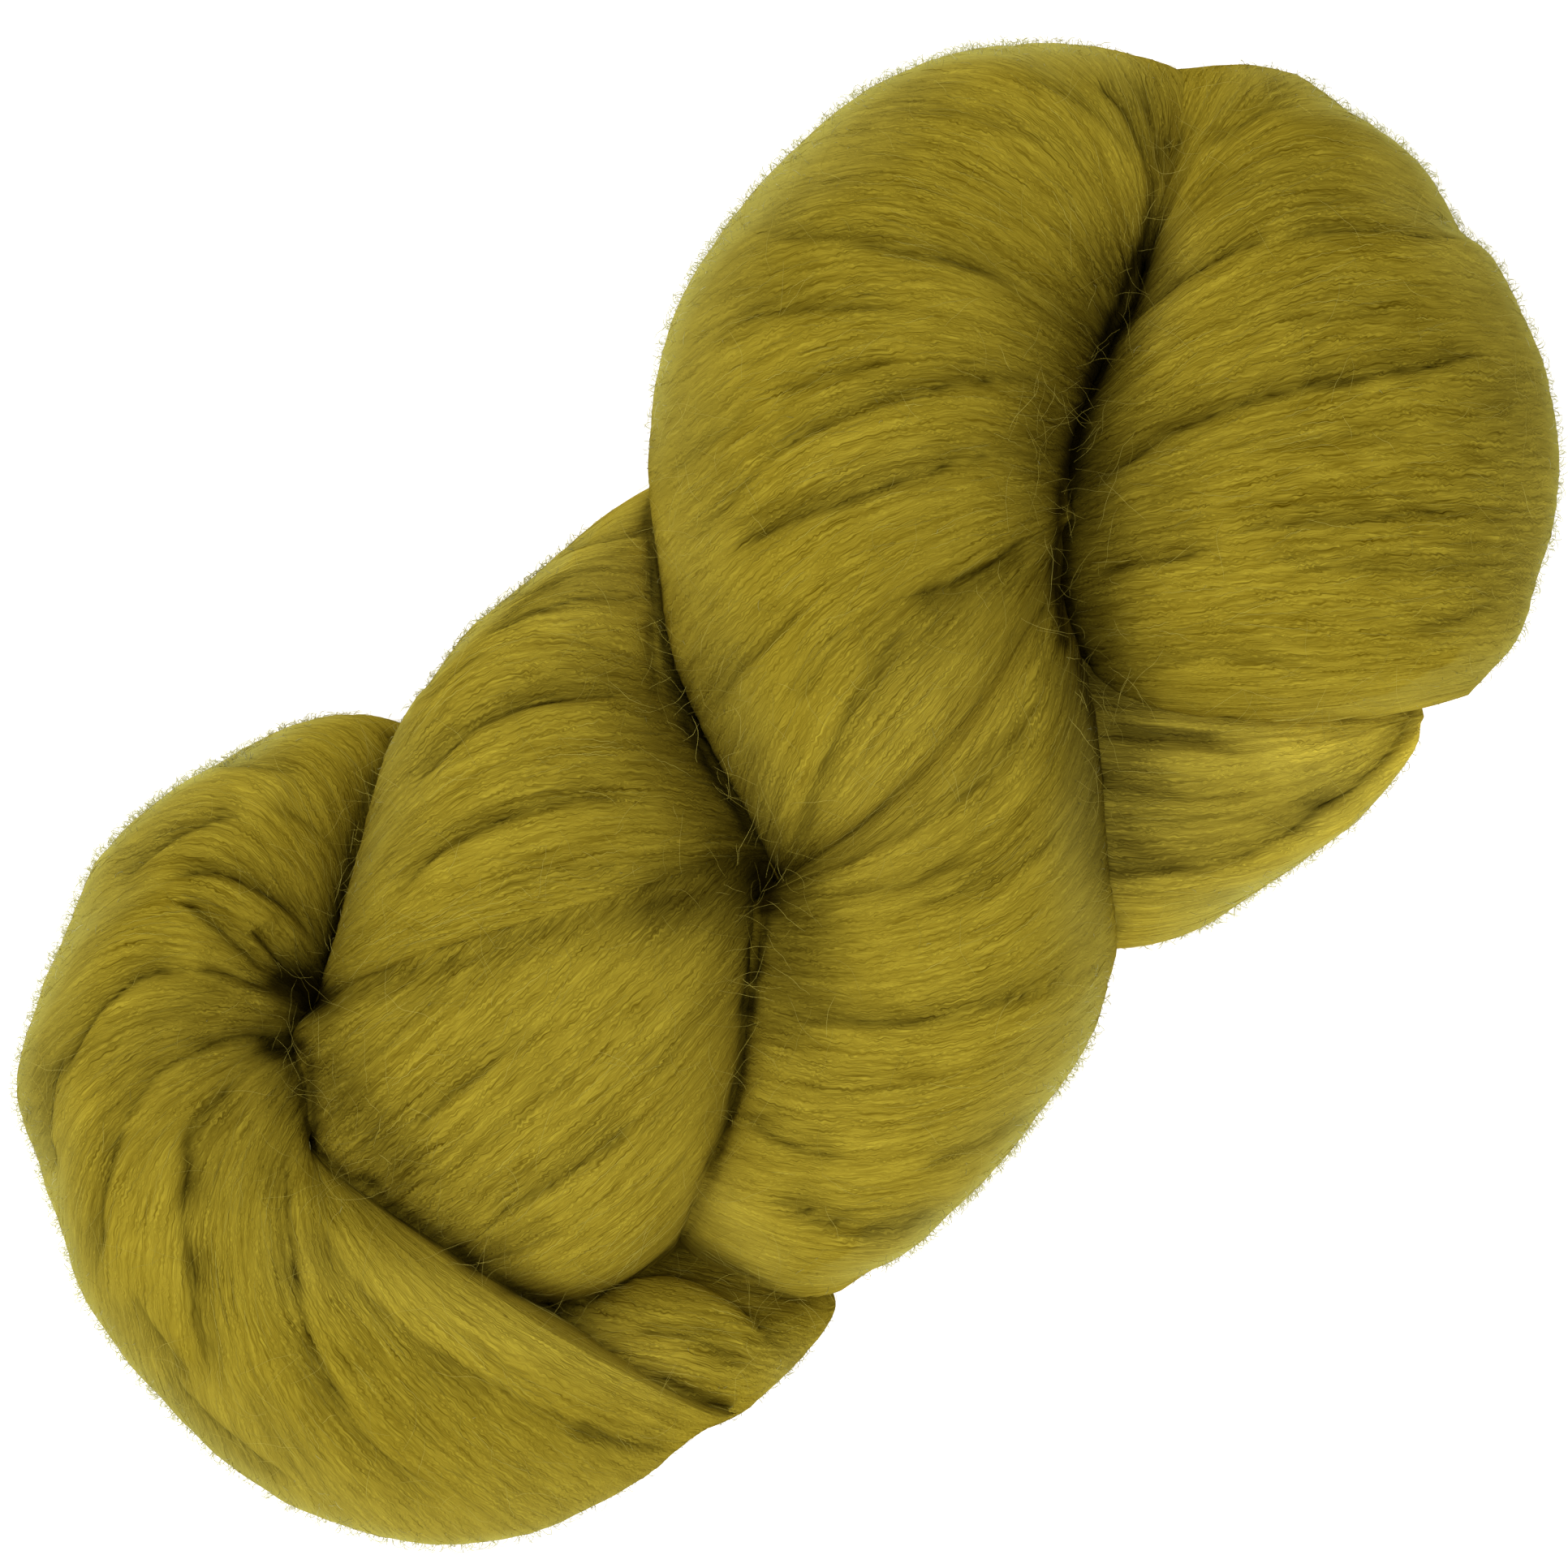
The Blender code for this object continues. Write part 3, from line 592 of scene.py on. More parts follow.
middleUpper = {
    "name": "lobeMiddleUpper", "laps": (0.02, 0.12), "ringsPerRow": 36, "around": 96, "seed": 3,
    "ends": (1.35, 1.35), "full": (1, 1),
    "rows": [
        (694, 680, 746, 636, 812, 594, 0, 46, 74),
        (587, 770, 702, 692, 812, 682, -5, 48, 91),
        (518, 858, 658, 735, 812, 728, -5, 49, 96),
        (478, 930, 618, 785, 814, 782, -2, 49, 99),
        (455, 1000, 612, 838, 824, 842, 2, 48, 99),
        (440, 1060, 625, 897, 844, 886, 8, 50, 102),
        (428, 1112, 624, 958, 880, 956, 14, 54, 105),
        (414, 1162, 628, 1018, 908, 1012, 20, 56, 107),
        (394, 1222, 640, 1108, 930, 1054, 26, 58, 107),
        (378, 1262, 655, 1222, 942, 1104, 36, 60, 102),
    ],
    "open": (0.6, 0), "paintedLightShades": (1.4, 1.3, 1.14, 1.08, 1.04),
    "folds": [
        (500, 985, 620, 880, 815, 853, 2.4), (480, 1112, 610, 1012, 830, 978, 2.3),
        (590, 1112, 690, 1082, 780, 1070, 1.2), (585, 785, 690, 745, 820, 738, 1.9),
        (600, 742, 700, 710, 820, 700, 1.1), (680, 680, 745, 662, 820, 652, 1.2),
        (520, 870, 560, 830, 620, 800, 0.8), (945, 1080, 640, 1150, 384, 1236, 1.6),
    ],
}
middleLower = {
    "name": "lobeMiddleLower", "laps": (0.10, 0.10), "ringsPerRow": 34, "around": 96, "seed": 4,
    "ends": (1.35, 1.35), "full": (1, 0.62),
    "rows": [
        (384, 1236, 542, 1084, 720, 950, 34, 58, 84),
        (374, 1272, 552, 1140, 762, 976, 30, 57, 97),
        (386, 1332, 570, 1192, 806, 994, 26, 56, 103),
        (398, 1402, 596, 1235, 850, 1010, 18, 54, 106),
        (440, 1468, 664, 1288, 912, 1050, 10, 50, 106),
        (515, 1520, 735, 1345, 944, 1122, 4, 49, 103),
        (585, 1566, 775, 1435, 930, 1235, -3, 47, 97),
        (648, 1598, 796, 1512, 910, 1362, -5, 46, 89),
        (700, 1612, 806, 1570, 882, 1480, 0, 44, 76),
    ],
    "open": (0, 0), "paintedLightShades": (1.04, 1.1, 1.15, 1.12),
    "folds": [
        (945, 1080, 640, 1150, 384, 1236, 1.6), (490, 1400, 575, 1338, 690, 1235, 1.5),
        (590, 1508, 700, 1450, 800, 1372, 2.0), (590, 1562, 645, 1543, 700, 1515, 1.0),
        (540, 1450, 640, 1385, 730, 1290, 0.8), (800, 1335, 850, 1275, 905, 1205, 0.8),
        (420, 1330, 500, 1265, 560, 1200, 0.6),
    ],
}
endRight = {
    "name": "lobeEndRight", "laps": (0.10, 0.00), "ringsPerRow": 36, "around": 96, "seed": 5,
    "ends": (1.35, 0.9), "full": (0.9, 1),
    "rows": [
        (1400, 252, 1392, 164, 1392, 84, 12, 44, 79),
        (1412, 308, 1490, 160, 1566, 84, -5, 44, 86),
        (1408, 324, 1526, 170, 1664, 140, -5, 44, 88),
        (1402, 342, 1562, 184, 1750, 204, -5, 44, 90),
        (1386, 380, 1572, 240, 1806, 290, -5, 44, 93),
        (1366, 438, 1590, 298, 1840, 322, -5, 45, 96),
        (1338, 500, 1600, 368, 1871, 380, -5, 46, 98),
        (1314, 590, 1600, 480, 1901, 450, -5, 46, 99),
        (1302, 640, 1600, 565, 1919, 545, -4, 47, 99),
        (1304, 708, 1592, 655, 1914, 635, 0, 48, 98),
        (1326, 765, 1600, 728, 1893, 712, 6, 50, 96),
        (1348, 822, 1600, 812, 1866, 788, 14, 52, 92),
        (1366, 886, 1572, 904, 1806, 856, 24, 54, 80),
    ],
    "open": (0, 1), "paintedLightShades": (1.05, 0.95, 0.95, 1.0, 1.0),
    "folds": [
        (1330, 606, 1500, 507, 1680, 464, 2.4), (1600, 478, 1720, 458, 1845, 430, 2.2),
        (1375, 432, 1450, 342, 1590, 288, 2.0), (1560, 298, 1690, 282, 1830, 300, 1.5),
        (1480, 190, 1540, 146, 1610, 126, 1.4), (1340, 712, 1420, 692, 1510, 680, 1.8),
        (1500, 652, 1660, 643, 1835, 626, 1.5), (1550, 682, 1700, 700, 1890, 690, 1.2),
        (1730, 785, 1800, 760, 1865, 728, 1.0), (1390, 822, 1500, 815, 1650, 830, 1.1),
        (1480, 402, 1600, 394, 1780, 382, 0.6), (1480, 560, 1620, 540, 1780, 545, 0.7),
    ],
}
endLeft = {
    "name": "lobeEndLeft", "laps": (0.12, 0.00), "ringsPerRow": 36, "around": 96, "seed": 6,
    "ends": (1.35, 0.3), "full": (1, 1),
    "rows": [
        (560, 1012, 556, 932, 540, 905, 2, 34, 54),
        (496, 985, 470, 896, 376, 889, 0, 34, 60),
        (432, 1080, 350, 945, 208, 978, -5, 36, 74),
        (408, 1140, 288, 992, 122, 1055, -5, 38, 80),
        (386, 1185, 252, 1072, 80, 1150, -5, 40, 85),
        (370, 1216, 205, 1130, 46, 1235, -5, 41, 88),
        (366, 1238, 165, 1218, 19, 1350, -5, 42, 90),
        (354, 1266, 150, 1310, 63, 1478, -5, 43, 91),
        (340, 1288, 152, 1420, 124, 1630, -5, 44, 92),
        (358, 1304, 240, 1510, 296, 1818, -5, 46, 94),
        (374, 1334, 318, 1595, 490, 1895, -5, 49, 96),
        (390, 1385, 386, 1610, 640, 1889, -5, 53, 97),
        (388, 1412, 520, 1630, 758, 1838, -5, 56, 97),
        (398, 1420, 590, 1612, 856, 1768, -3, 58, 95),
        (410, 1424, 650, 1590, 908, 1738, 4, 58, 88),
    ],
    "open": (0, 1), "paintedLightShades": (1.08, 1.0, 1.0, 1.14, 1.1, 0.94, 1.06),
    "folds": [
        (150, 1090, 215, 1028, 320, 1000, 1.9), (205, 1080, 300, 1084, 405, 1175, 2.4),
        (210, 1108, 270, 1145, 340, 1210, 1.8), (312, 1148, 335, 1170, 365, 1205, 2.0),
        (72, 1345, 140, 1228, 255, 1196, 2.4), (235, 1198, 300, 1206, 362, 1232, 1.6),
        (235, 1308, 295, 1280, 350, 1292, 2.0), (148, 1400, 190, 1328, 262, 1290, 1.4),
        (312, 1318, 240, 1390, 234, 1510, 2.2), (236, 1400, 228, 1500, 240, 1610, 1.2),
        (232, 1510, 238, 1610, 262, 1700, 1.8),
        (112, 1600, 132, 1460, 160, 1385, 2.0), (240, 1700, 195, 1650, 160, 1585, 1.6),
        (378, 1620, 354, 1510, 364, 1395, 1.8), (440, 1750, 382, 1650, 356, 1500, 1.4),
        (560, 1840, 436, 1760, 374, 1600, 1.5), (650, 1730, 470, 1612, 388, 1480, 1.4),
        (800, 1790, 650, 1730, 500, 1630, 1.1), (690, 1762, 760, 1782, 840, 1792, 1.5),
        (375, 1838, 275, 1765, 190, 1680, 1.7), (72, 1450, 55, 1370, 78, 1290, 2.0),
        (255, 938, 310, 937, 380, 955, 1.5), (330, 1000, 390, 1020, 430, 1075, 0.8),
        (300, 1700, 330, 1765, 385, 1840, 0.8), (395, 1640, 470, 1720, 560, 1800, 0.6),
    ],
}
tailLeft = {
    "name": "lobeTailLeft", "laps": (0.00, 0.00), "ringsPerRow": 40, "around": 72, "seed": 7,
    "ends": (1.35, 1.35), "full": (1, 1),
    "rows": [
        (580, 1760, 700, 1790, 826, 1776, -5, 30, 56),
        (612, 1690, 770, 1730, 900, 1752, -5, 31, 70),
        (640, 1640, 820, 1668, 956, 1708, -5, 32, 77),
        (670, 1580, 868, 1618, 1000, 1662, -5, 32, 78),
        (700, 1520, 900, 1568, 1030, 1612, -5, 30, 68),
        (730, 1460, 915, 1500, 1010, 1548, -5, 28, 48),
    ],
    "open": (0, 1), "paintedLightShades": (1.0, 1.0),
    "folds": [
        (690, 1620, 840, 1568, 985, 1690, 2.4), (800, 1690, 850, 1720, 900, 1745, 0.8),
        (770, 1640, 850, 1650, 930, 1700, 1.4),
    ],
}
backRight = {
    "name": "lobeBackRight", "laps": (0.00, 0.00), "ringsPerRow": 36, "around": 84, "seed": 8,
    "ends": (1.35, 1.35), "full": (1, 0.8),
    "rows": [
        (930, 620, 1280, 740, 1740, 800, 0, 36, 60),
        (850, 680, 1270, 850, 1756, 872, -5, 37, 75),
        (800, 760, 1300, 950, 1752, 892, -5, 37, 77),
        (810, 860, 1350, 1046, 1740, 926, -5, 37, 77),
        (860, 950, 1350, 1104, 1686, 988, -5, 36, 73),
        (950, 1040, 1320, 1168, 1548, 1092, 0, 34, 56),
    ],
    "open": (0, 1), "paintedLightShades": (1.75, 1.65, 1.5, 1.4),
    "folds": [
        (1320, 1066, 1530, 1056, 1672, 956, 2.4), (1590, 1010, 1700, 950, 1745, 860, 2.2),
        (1400, 962, 1480, 982, 1590, 958, 0.9), (1400, 1006, 1500, 1010, 1590, 984, 0.9),
        (1440, 1130, 1480, 1120, 1540, 1098, 0.9), (1380, 905, 1440, 915, 1560, 930, 1.4),
    ],
}
backLeft = {
    "name": "lobeBackLeft", "laps": (0.00, 0.00), "ringsPerRow": 20, "around": 72, "seed": 9,
    "ends": (1.35, 1.35), "full": (1, 1),
    "rows": [
        (960, 1380, 780, 1120, 480, 900, 0, 30, 48),
        (1040, 1450, 740, 1190, 430, 950, -5, 30, 60),
        (1050, 1540, 660, 1270, 396, 1030, -5, 30, 62),
        (980, 1590, 620, 1350, 390, 1130, -5, 30, 60),
        (860, 1580, 580, 1420, 400, 1230, 0, 30, 46),
    ],
    "open": (1, 1), "paintedLightShades": (1.0, 1.0),
    "folds": [],
}

# Pits where the lobes are pinched together: a short line x, y to x, y as the camera sees it, then
# radius and depth in millimetres and painted shade. The narrow ones come first, then the wide hollows
# about them and, with no depth, stretches of painted shade or, with the painted shade below zero, of painted
# light
pits = [
    (1424, 225, 1414, 290, 1.2, 2, 0.6), (1406, 305, 1385, 372, 1.3, 2.5, 0.9),
    (1374, 388, 1338, 480, 1.6, 3, 0.95), (1332, 500, 1314, 585, 1.4, 3, 0.95),
    (1308, 600, 1303, 690, 1.2, 3, 0.9), (1303, 700, 1312, 790, 1.4, 3.5, 0.9),
    (1330, 815, 1362, 950, 1.1, 2, 0.6), (802, 770, 808, 850, 1, 2, 0.4),
    (845, 890, 925, 1020, 1.2, 3, 0.7), (940, 1080, 948, 1112, 2.4, 7, 0.97),
    (944, 1115, 930, 1200, 1.3, 4, 0.8), (921, 1232, 922, 1240, 1.6, 4, 0.7),
    (370, 1210, 386, 1230, 4, 9, 0.97), (345, 1205, 370, 1220, 2.4, 6, 0.8),
    (330, 1293, 368, 1290, 2, 5, 0.8), (380, 1310, 388, 1390, 1.2, 2, 0.6),
    (448, 1455, 460, 1463, 1.6, 3, 0.6), (480, 1490, 540, 1530, 1, 1.5, 0.4),
    (562, 1545, 583, 1563, 1.6, 3, 0.6), (620, 1590, 700, 1605, 1, 1.5, 0.4),
    (1375, 896, 1500, 908, 1.6, 2, 0.6), (1380, 340, 1310, 540, 10, 4, 0.62),
    (1340, 600, 1345, 790, 9, 3, 0.58), (1365, 850, 1390, 1060, 8, 2, 0.52),
    (830, 880, 935, 1060, 9, 3, 0.42), (945, 1085, 940, 1160, 9, 3, 0.26),
    (975, 1100, 965, 1250, 8, 1.5, 0.44), (1000, 1110, 1015, 1200, 7, 0, 0.2),
    (375, 1215, 355, 1250, 10, 2, 0.25), (392, 1325, 485, 1430, 8, 2, 0.48),
    (60, 1330, 280, 1215, 4.5, 0, 0.24), (510, 1470, 600, 1520, 7, 1, 0.22),
    (850, 1570, 960, 1606, 5, 1, 0.15), (825, 1105, 930, 1085, 9, 1.5, 0.6),
    (1300, 880, 1340, 1040, 9, 0, 0.25), (880, 1480, 940, 1560, 6, 0, -0.45),
    (1320, 1010, 1335, 1130, 6, 0, -0.3), (380, 1560, 800, 1690, 9, 0, -0.42),
    (1600, 910, 1740, 900, 7, 0, -0.62), (1080, 990, 1160, 880, 16, 0, -0.32),
    (1400, 905, 1440, 1010, 8, 0, 0.28), (1640, 1020, 1740, 920, 6, 0, -0.5),
    (720, 700, 800, 680, 10, 0, -0.45), (1700, 200, 1800, 330, 6, 0, -0.3),
    (880, 1655, 960, 1645, 7, 0, 0.2), (200, 1010, 330, 960, 7, 0, -0.25),
    (1840, 500, 1840, 680, 10, 0, 0.2), (1540, 230, 1620, 230, 9, 0, 0.2),
    (1620, 380, 1780, 370, 7, 0, 0.12), (1100, 800, 1285, 680, 9, 0, 0.28),
    (1440, 530, 1430, 650, 8, 0, 0.25), (940, 360, 1110, 160, 11, 0, 0.15),
    (1020, 590, 1110, 585, 9, 0, -0.12), (1450, 290, 1420, 400, 6, 0, -0.4),
    (1195, 1060, 1235, 950, 8, 0, 0.22),
]

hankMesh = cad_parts["wool_hank"].data
cadTree = BVHTree.FromPolygons([tuple(v.co) for v in hankMesh.vertices],
                               [tuple(p.vertices) for p in hankMesh.polygons])
lobeTables = [frontUpper, frontLower, middleUpper, middleLower, endRight, endLeft, tailLeft,
              backRight, backLeft]
surfaces = [lobeSurface(lobe) for lobe in lobeTables]
lobes = []
for number, lobe in enumerate(lobeTables):
    others = coarseTree(surfaces[:number] + surfaces[number + 1:])
    lobes.append(makeLobe(lobe, surfaces[number], others, woolFinish, cadTree))
print("lobes done")


# Fibres

def fibreTubes(name, paths, radii, tints, shades, paintedLightShades, material):
    # a fibre is a three-sided tube: at each path point three corners a third of a turn apart,
    # square to the path, with a radius that tapers to both ends
    count, steps = paths.shape[:2]
    along = np.gradient(paths, axis=1)
    along /= np.maximum(lengths(along), 1e-12)[..., None]
    helper = np.array([0.31, 0.23, 0.92]) + 0 * along
    side = np.cross(along, helper)
    side /= np.maximum(lengths(side), 1e-9)[..., None]
    lift = np.cross(side, along)
    taper = 0.35 + 0.65 * np.sin(np.linspace(0.12, math.pi - 0.12, steps)) ** 0.5
    radius = radii[:, None] * taper[None]
    corner = np.arange(3) * 2 * math.pi / 3
    ring = side[:, :, None] * np.cos(corner)[:, None] + lift[:, :, None] * np.sin(corner)[:, None]
    points = paths[:, :, None] + ring * radius[:, :, None, None]
    index = np.arange(count * steps * 3).reshape(count, steps, 3)
    nextCorner = np.roll(index, -1, axis=2)
    quads = np.stack([index[:, 1:], nextCorner[:, 1:], nextCorner[:, :-1], index[:, :-1]], axis=-1)
    quads = quads.reshape(-1, 4)
    ends = np.concatenate([index[:, 0], index[:, -1, ::-1]])
    corners = np.zeros((quads.size + ends.size, 2))
    # tint is the fibre's own colour; the other marks carry painted shade and painted light
    marks = {"tint": np.repeat(tints, steps * 3), "shade": np.repeat(shades.reshape(-1), 3),
             "paintedLightShade": np.repeat(paintedLightShades.reshape(-1), 3)}
    meshPiece(name, points.reshape(-1, 3), quads, ends, corners, material, marks)
    print("fibres", name, count, "triangles", len(quads) * 2 + len(ends))


def areaOf(lobe, lowest):
    # outside area round each grid point of a lobe, above a height in mm
    points = lobe["points"]
    size = lengths(np.gradient(points, axis=0)) * lengths(np.roll(points, -1, axis=1) - points)
    return np.where(lobe["outside"] & (points[..., 2] > lowest * mm), size, 0)


def pickRoots(areas, count, rng):
    # fibre roots shared over the lobes by area: which lobe, then which of its grid points
    totals = np.array([area.sum() for area in areas])
    shares = rng.multinomial(count, totals / totals.sum())
    return [rng.choice(area.size, size=share, p=(area / area.sum()).ravel()) if share else np.zeros(0, int)
            for area, share in zip(areas, shares)]


lying = {"count": 5600, "perPiece": 3000, "steps": 10, "length": (5.0, 15.0), "radius": (0.032, 0.055),
         "lean": 0.18, "crimp": 0.15, "crimpLength": 2.6, "lift": 0.09, "seed": 41}

rng = np.random.default_rng(lying["seed"])
allPaths, allShades, allPaintedLightShades = [], [], []
for lobe, chosen in zip(lobes, pickRoots([areaOf(lobe, 4) for lobe in lobes], lying["count"], rng)):
    # a fibre keeps to one row of its lobe with a lean and a crimp, row + lean * s + crimp * sin,
    # lifted along the normal by a hump whose ends are under the surface
    points, (ringCount, around) = lobe["points"], lobe["outside"].shape
    count = len(chosen)
    if count == 0:
        continue
    ring, column = chosen // around, chosen % around
    ringSize = lengths(np.gradient(points, axis=0))[ring, column] / mm
    columnSize = lengths(np.roll(points, -1, axis=1) - points)[ring, column] / mm
    s = np.linspace(-0.5, 0.5, lying["steps"])
    size = rng.uniform(*lying["length"], count)
    lean = rng.normal(0, lying["lean"], count) * size
    bend = rng.normal(0, lying["lean"] * 0.5, count) * size
    phase = rng.uniform(0, 2 * math.pi, count)
    aside = lean[:, None] * s + bend[:, None] * (s ** 2 - 0.08)
    turns = size[:, None] * s / lying["crimpLength"]
    aside += lying["crimp"] * np.sin(2 * math.pi * turns + phase[:, None])
    ringLine = ring[:, None] + rng.random((count, 1)) + aside / np.maximum(ringSize, 0.08)[:, None]
    columnLine = column[:, None] + rng.random((count, 1))
    columnLine = columnLine + size[:, None] * s / np.maximum(columnSize, 0.3)[:, None]
    keep = ((ringLine > 1) & (ringLine < ringCount - 2)).all(axis=1)
    keep &= np.ptp(columnLine, axis=1) < around / 5
    ringLine = np.clip(ringLine, 1, ringCount - 2.001)
    keep &= lobe["outside"][ringLine.astype(int), columnLine.astype(int) % around].mean(axis=1) > 0.8
    ringLine, columnLine = ringLine[keep], columnLine[keep]
    place = sampleGrid(points, ringLine, columnLine)
    normal = sampleGrid(lobe["normal"], ringLine, columnLine)
    normal /= np.maximum(lengths(normal), 1e-9)[..., None]
    hump = np.cos(np.pi * s) ** 0.5
    height = rng.gamma(1.2, lying["lift"], len(place))[:, None] * hump + 0.10 * hump - 0.10
    allPaths.append(place + normal * height[..., None] * mm)
    # each fibre takes the painted shade and painted light of the wool under it
    allShades.append(sampleGrid(lobe["shade"][..., None], ringLine, columnLine)[..., 0])
    allPaintedLightShades.append(sampleGrid(lobe["paintedLightShade"][..., None], ringLine, columnLine)[..., 0])
paths, shades, paintedLightShades = np.concatenate(allPaths), np.concatenate(allShades), np.concatenate(allPaintedLightShades)
radii, tints = rng.uniform(*lying["radius"], len(paths)) * mm, rng.uniform(0.1, 1.0, len(paths))
for number, start in enumerate(range(0, len(paths), lying["perPiece"])):
    part = slice(start, start + lying["perPiece"])
    fibreTubes("lyingFibres" + str(number + 1), paths[part], radii[part], tints[part], shades[part],
               paintedLightShades[part], fibreFinish)

fuzz = {"count": 8900, "steps": 4, "length": (0.5, 2.4), "radius": (0.04, 0.075), "seed": 77,
        "anywhere": 0.12, "onWalls": 0.8, "atRims": 40.0}       # how thickly it grows, by weight

rng = np.random.default_rng(fuzz["seed"])
rims = []
for lobe in lobes:
    steep = np.abs(lobe["normal"][..., 2])
    rims.append(areaOf(lobe, 6) * (fuzz["anywhere"] + fuzz["onWalls"] * np.clip(1 - steep * 1.4, 0, 1) ** 2
                                   + fuzz["atRims"] * lobe["rimLight"] * np.clip(1 - steep * 2, 0, 1)))
allPaths, allTints, allShades = [], [], []
for lobe, chosen in zip(lobes, pickRoots(rims, fuzz["count"], rng)):
    # a loose end rises from the surface: root + along * s + up * s - droop * s squared, with a curl
    count = len(chosen)
    points = lobe["points"]
    around3 = (np.roll(points, -1, axis=1) - points).reshape(-1, 3)[chosen]
    root, normal = points.reshape(-1, 3)[chosen], lobe["normal"].reshape(-1, 3)[chosen]
    around3 /= np.maximum(lengths(around3), 1e-9)[:, None]
    sideways = np.cross(normal, around3)
    heading = rng.normal(0, 0.6, (count, 1)) * sideways
    heading = heading + np.where(rng.random((count, 1)) < 0.5, 1, -1) * around3
    heading /= np.maximum(lengths(heading), 1e-9)[:, None]
    size = rng.uniform(*fuzz["length"], (count, 1)) * mm
    rise = rng.uniform(0.15, 1.0, (count, 1)) + 0.8 * lobe["rimLight"].reshape(-1, 1)[chosen]
    curl = rng.normal(0, 0.5, (count, 1)) * sideways
    s = np.linspace(0, 1, fuzz["steps"])[None, :, None]
    upward = rise[:, None] * s * (1.15 - 0.6 * s) - 0.05
    path = root[:, None] + size[:, None] * (heading[:, None] * s * (1 - 0.25 * s)
                                            + normal[:, None] * upward + curl[:, None] * s ** 2)
    path[..., 2] = np.maximum(path[..., 2], 0.5 * mm)
    allPaths.append(path)
    # paler towards the open rims, following the painted rim light, and dark with the painted shade under it
    allTints.append(rng.uniform(0, 0.35, count) + 0.65 * lobe["rimLight"].ravel()[chosen])
    allShades.append(lobe["shade"].ravel()[chosen])
paths, tints, shades = np.concatenate(allPaths), np.concatenate(allTints), np.concatenate(allShades)
fuzzFinish = woolMaterial("rimFibre", (0.24, 0.19, 0.012), (0.74, 0.74, 0.38), 0.0, 1.0, True)
fibreTubes("rimFuzz", paths, rng.uniform(*fuzz["radius"], len(paths)) * mm, tints,
           np.repeat(shades[:, None], fuzz["steps"], axis=1), np.ones(paths.shape[:2]), fuzzFinish)

strays = {"count": 1500, "steps": 10, "length": (3.0, 15.0), "radius": (0.020, 0.038), "cell": 1.5,
          "lift": (0.1, 0.6), "turning": 0.16, "curving": 0.06, "seed": 91}


def planHeights(lobes, cell):
    # highest wool over a plan grid of square cells, in mm, and the same spread over its neighbours
    # and averaged, which bridges the folds
    corner = np.array([-180.0, -92.0])
    shape = (int(360 / cell), int(184 / cell))
    raw = np.full(shape, -1.0)
    for lobe in lobes:
        spots = lobe["points"].reshape(-1, 3) / mm
        cells = np.floor((spots[:, :2] - corner) / cell).astype(int)
        cells = np.clip(cells, 0, np.array(shape) - 1)
        np.maximum.at(raw, (cells[:, 0], cells[:, 1]), spots[:, 2])
    shifts = [(i, j) for i in (-1, 0, 1) for j in (-1, 0, 1)]
    bridged = np.max([np.roll(raw, shift, axis=(0, 1)) for shift in shifts], axis=0)
    for step in range(2):
        bridged = np.mean([np.roll(bridged, shift, axis=(0, 1)) for shift in shifts], axis=0)
    return raw, bridged, corner


rng = np.random.default_rng(strays["seed"])
raw, bridged, corner = planHeights(lobes, strays["cell"])
weight = np.where(raw > 20, 1 + 9 * np.clip((bridged - raw - 1.0) / 4, 0, 1), 0)
chosen = rng.choice(weight.size, size=strays["count"], p=(weight / weight.sum()).ravel())
start = np.stack(np.unravel_index(chosen, weight.shape), axis=-1) * strays["cell"] + corner
# a stray wanders in plan over the bridged height, its heading turned by a random amount each step
turn = rng.normal(0, strays["turning"], (strays["count"], strays["steps"])).cumsum(axis=1)
turn += rng.normal(0, strays["curving"], (strays["count"], 1)) * np.arange(strays["steps"])
turn += rng.uniform(0, 2 * math.pi, (strays["count"], 1))
stride = rng.uniform(*strays["length"], (strays["count"], 1)) / strays["steps"]
plan = np.stack([np.cos(turn) * stride, np.sin(turn) * stride], axis=-1).cumsum(axis=1)
plan += start[:, None] - plan[:, strays["steps"] // 2][:, None]
plan += rng.random((strays["count"], 1, 2)) * strays["cell"]
cells = np.clip((plan - corner) / strays["cell"] - 0.5, 0, np.array(bridged.shape) - 1.001)
columnAt, rowAt = cells[..., 0], cells[..., 1]
height = sampleGrid(bridged[..., None], columnAt, rowAt)[..., 0]
keep = (sampleGrid(raw[..., None], columnAt, rowAt)[..., 0] > 12).all(axis=1)
s = np.linspace(0, 1, strays["steps"])
height = height + rng.uniform(*strays["lift"], (strays["count"], 1)) * (1.6 * np.sin(np.pi * s) - 0.6)
paths = np.concatenate([plan, height[..., None]], axis=-1)[keep] * mm
strayFinish = woolMaterial("strayFibre", (0.24, 0.19, 0.018), (0.52, 0.44, 0.09), 0.0, 1.0, True)
radii, tints = rng.uniform(*strays["radius"], len(paths)) * mm, rng.uniform(0.1, 1.0, len(paths))
fibreTubes("strayFibres", paths, radii, tints, np.zeros(paths.shape[:2]), np.ones(paths.shape[:2]),
           strayFinish)
print("fibres done")


# Floor, lights and camera

stageSetup = {"floorSize": 6.0, "worldLight": 0.25, "floorGlow": 0.55, "frameWidth": 1932 * layout["step"]}

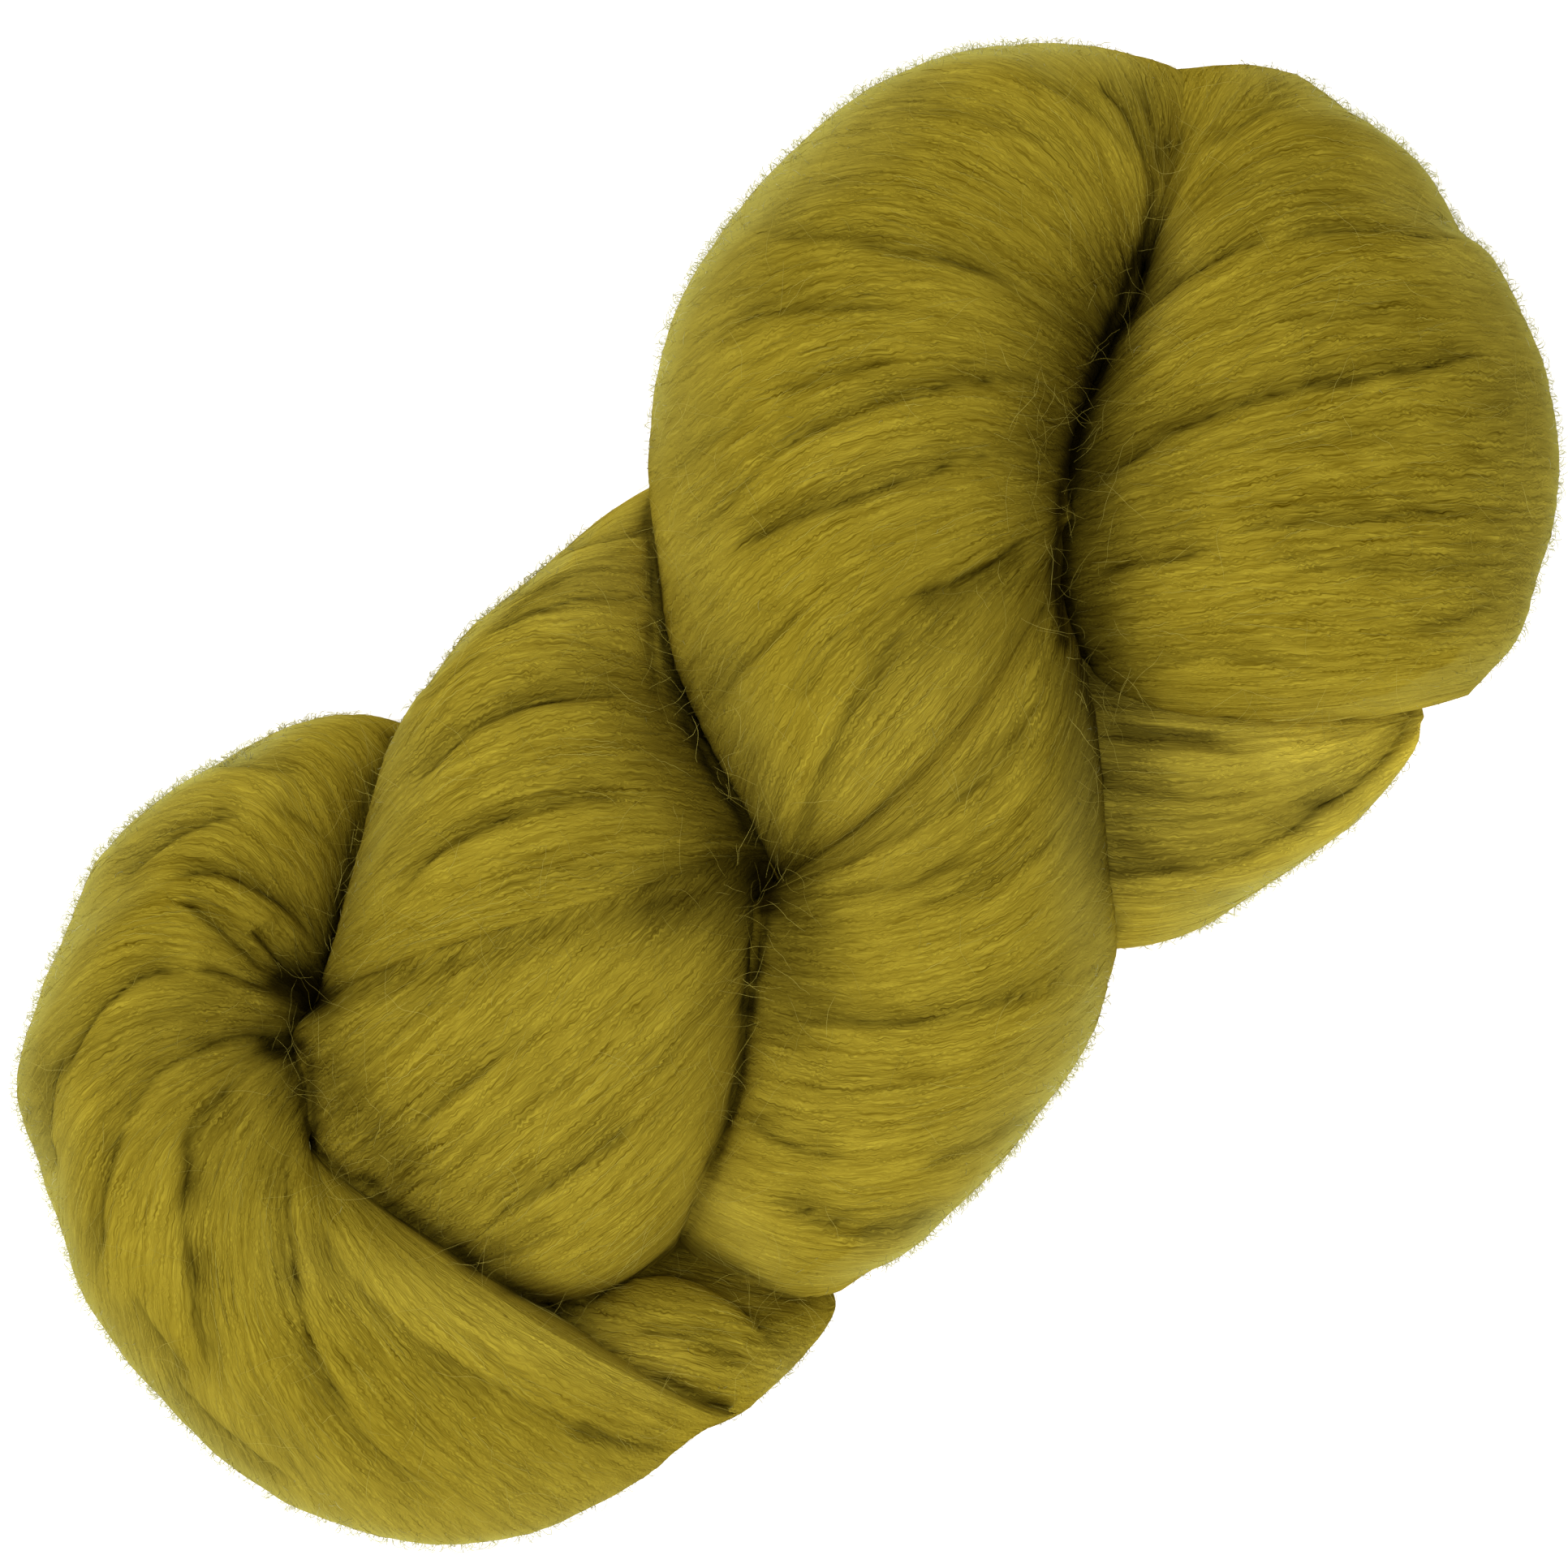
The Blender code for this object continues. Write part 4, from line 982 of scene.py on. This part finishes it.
floorMaterial = bpy.data.materials.new("paleFloor")
floorMaterial.use_nodes = True
floorShader = floorMaterial.node_tree.nodes["Principled BSDF"]
floorShader.inputs["Base Color"].default_value = (0.95, 0.95, 0.95, 1)
floorShader.inputs["Roughness"].default_value = 0.9
floorShader.inputs["Emission Color"].default_value = (1, 1, 1, 1)
floorShader.inputs["Emission Strength"].default_value = stageSetup["floorGlow"]
half = stageSetup["floorSize"] / 2
floorMesh = bpy.data.meshes.new("floor")
floorCorners = [(-half, -half, 0), (half, -half, 0), (half, half, 0), (-half, half, 0)]
floorMesh.from_pydata(floorCorners, [], [(0, 1, 2, 3)])
floorMesh.materials.append(floorMaterial)
floor = bpy.data.objects.new("floor", floorMesh)
bpy.context.collection.objects.link(floor)

scene = bpy.context.scene
world = bpy.data.worlds.new("studio")
world.use_nodes = True
world.node_tree.nodes["Background"].inputs["Color"].default_value = (1, 1, 1, 1)
world.node_tree.nodes["Background"].inputs["Strength"].default_value = stageSetup["worldLight"]
scene.world = world
scene.view_settings.view_transform = "Standard"


def softLight(name, azimuth, elevation, distance, size, power):
    # a square lamp that faces the hank from an azimuth, 0 at -Y and 90 at +X, and an elevation
    lamp = bpy.data.lights.new(name, "AREA")
    lamp.size = size
    lamp.energy = power
    light = bpy.data.objects.new(name, lamp)
    a, e = math.radians(azimuth), math.radians(elevation)
    flat = distance * math.cos(e)
    light.location = (flat * math.sin(a), -flat * math.cos(a), distance * math.sin(e))
    light.rotation_euler = (math.pi / 2 - e, 0, a)
    bpy.context.collection.objects.link(light)


softLight("keyLight", 315, 40, 2.3, 1.5, 26)
softLight("sideLight", 180, 40, 2.3, 1.5, 21)
softLight("topLight", 0, 89.9, 3.3, 1.5, 46)

right = (view["middle"] - layout["middleX"]) * layout["step"]
back = (layout["middleY"] - view["middle"]) * layout["step"]
cosTurn, sinTurn = math.cos(layout["turn"]), math.sin(layout["turn"])
cameraData = bpy.data.cameras.new("camera")
cameraData.sensor_width = 36
cameraData.lens = 36 * (view["height"] - view["focus"]) * mm / stageSetup["frameWidth"]
cameraData.clip_end = 20
camera = bpy.data.objects.new("camera", cameraData)
camera.location = (right * cosTurn - back * sinTurn, right * sinTurn + back * cosTurn, view["height"] * mm)
camera.rotation_euler = (0, 0, layout["turn"])
bpy.context.collection.objects.link(camera)
scene.camera = camera
print("stage done")

meshes = [piece.data for piece in bpy.data.objects if piece.type == "MESH"]
triangles = sum(len(mesh.loops) - 2 * len(mesh.polygons) for mesh in meshes)
print("triangles in all, solid and floor among them", triangles)
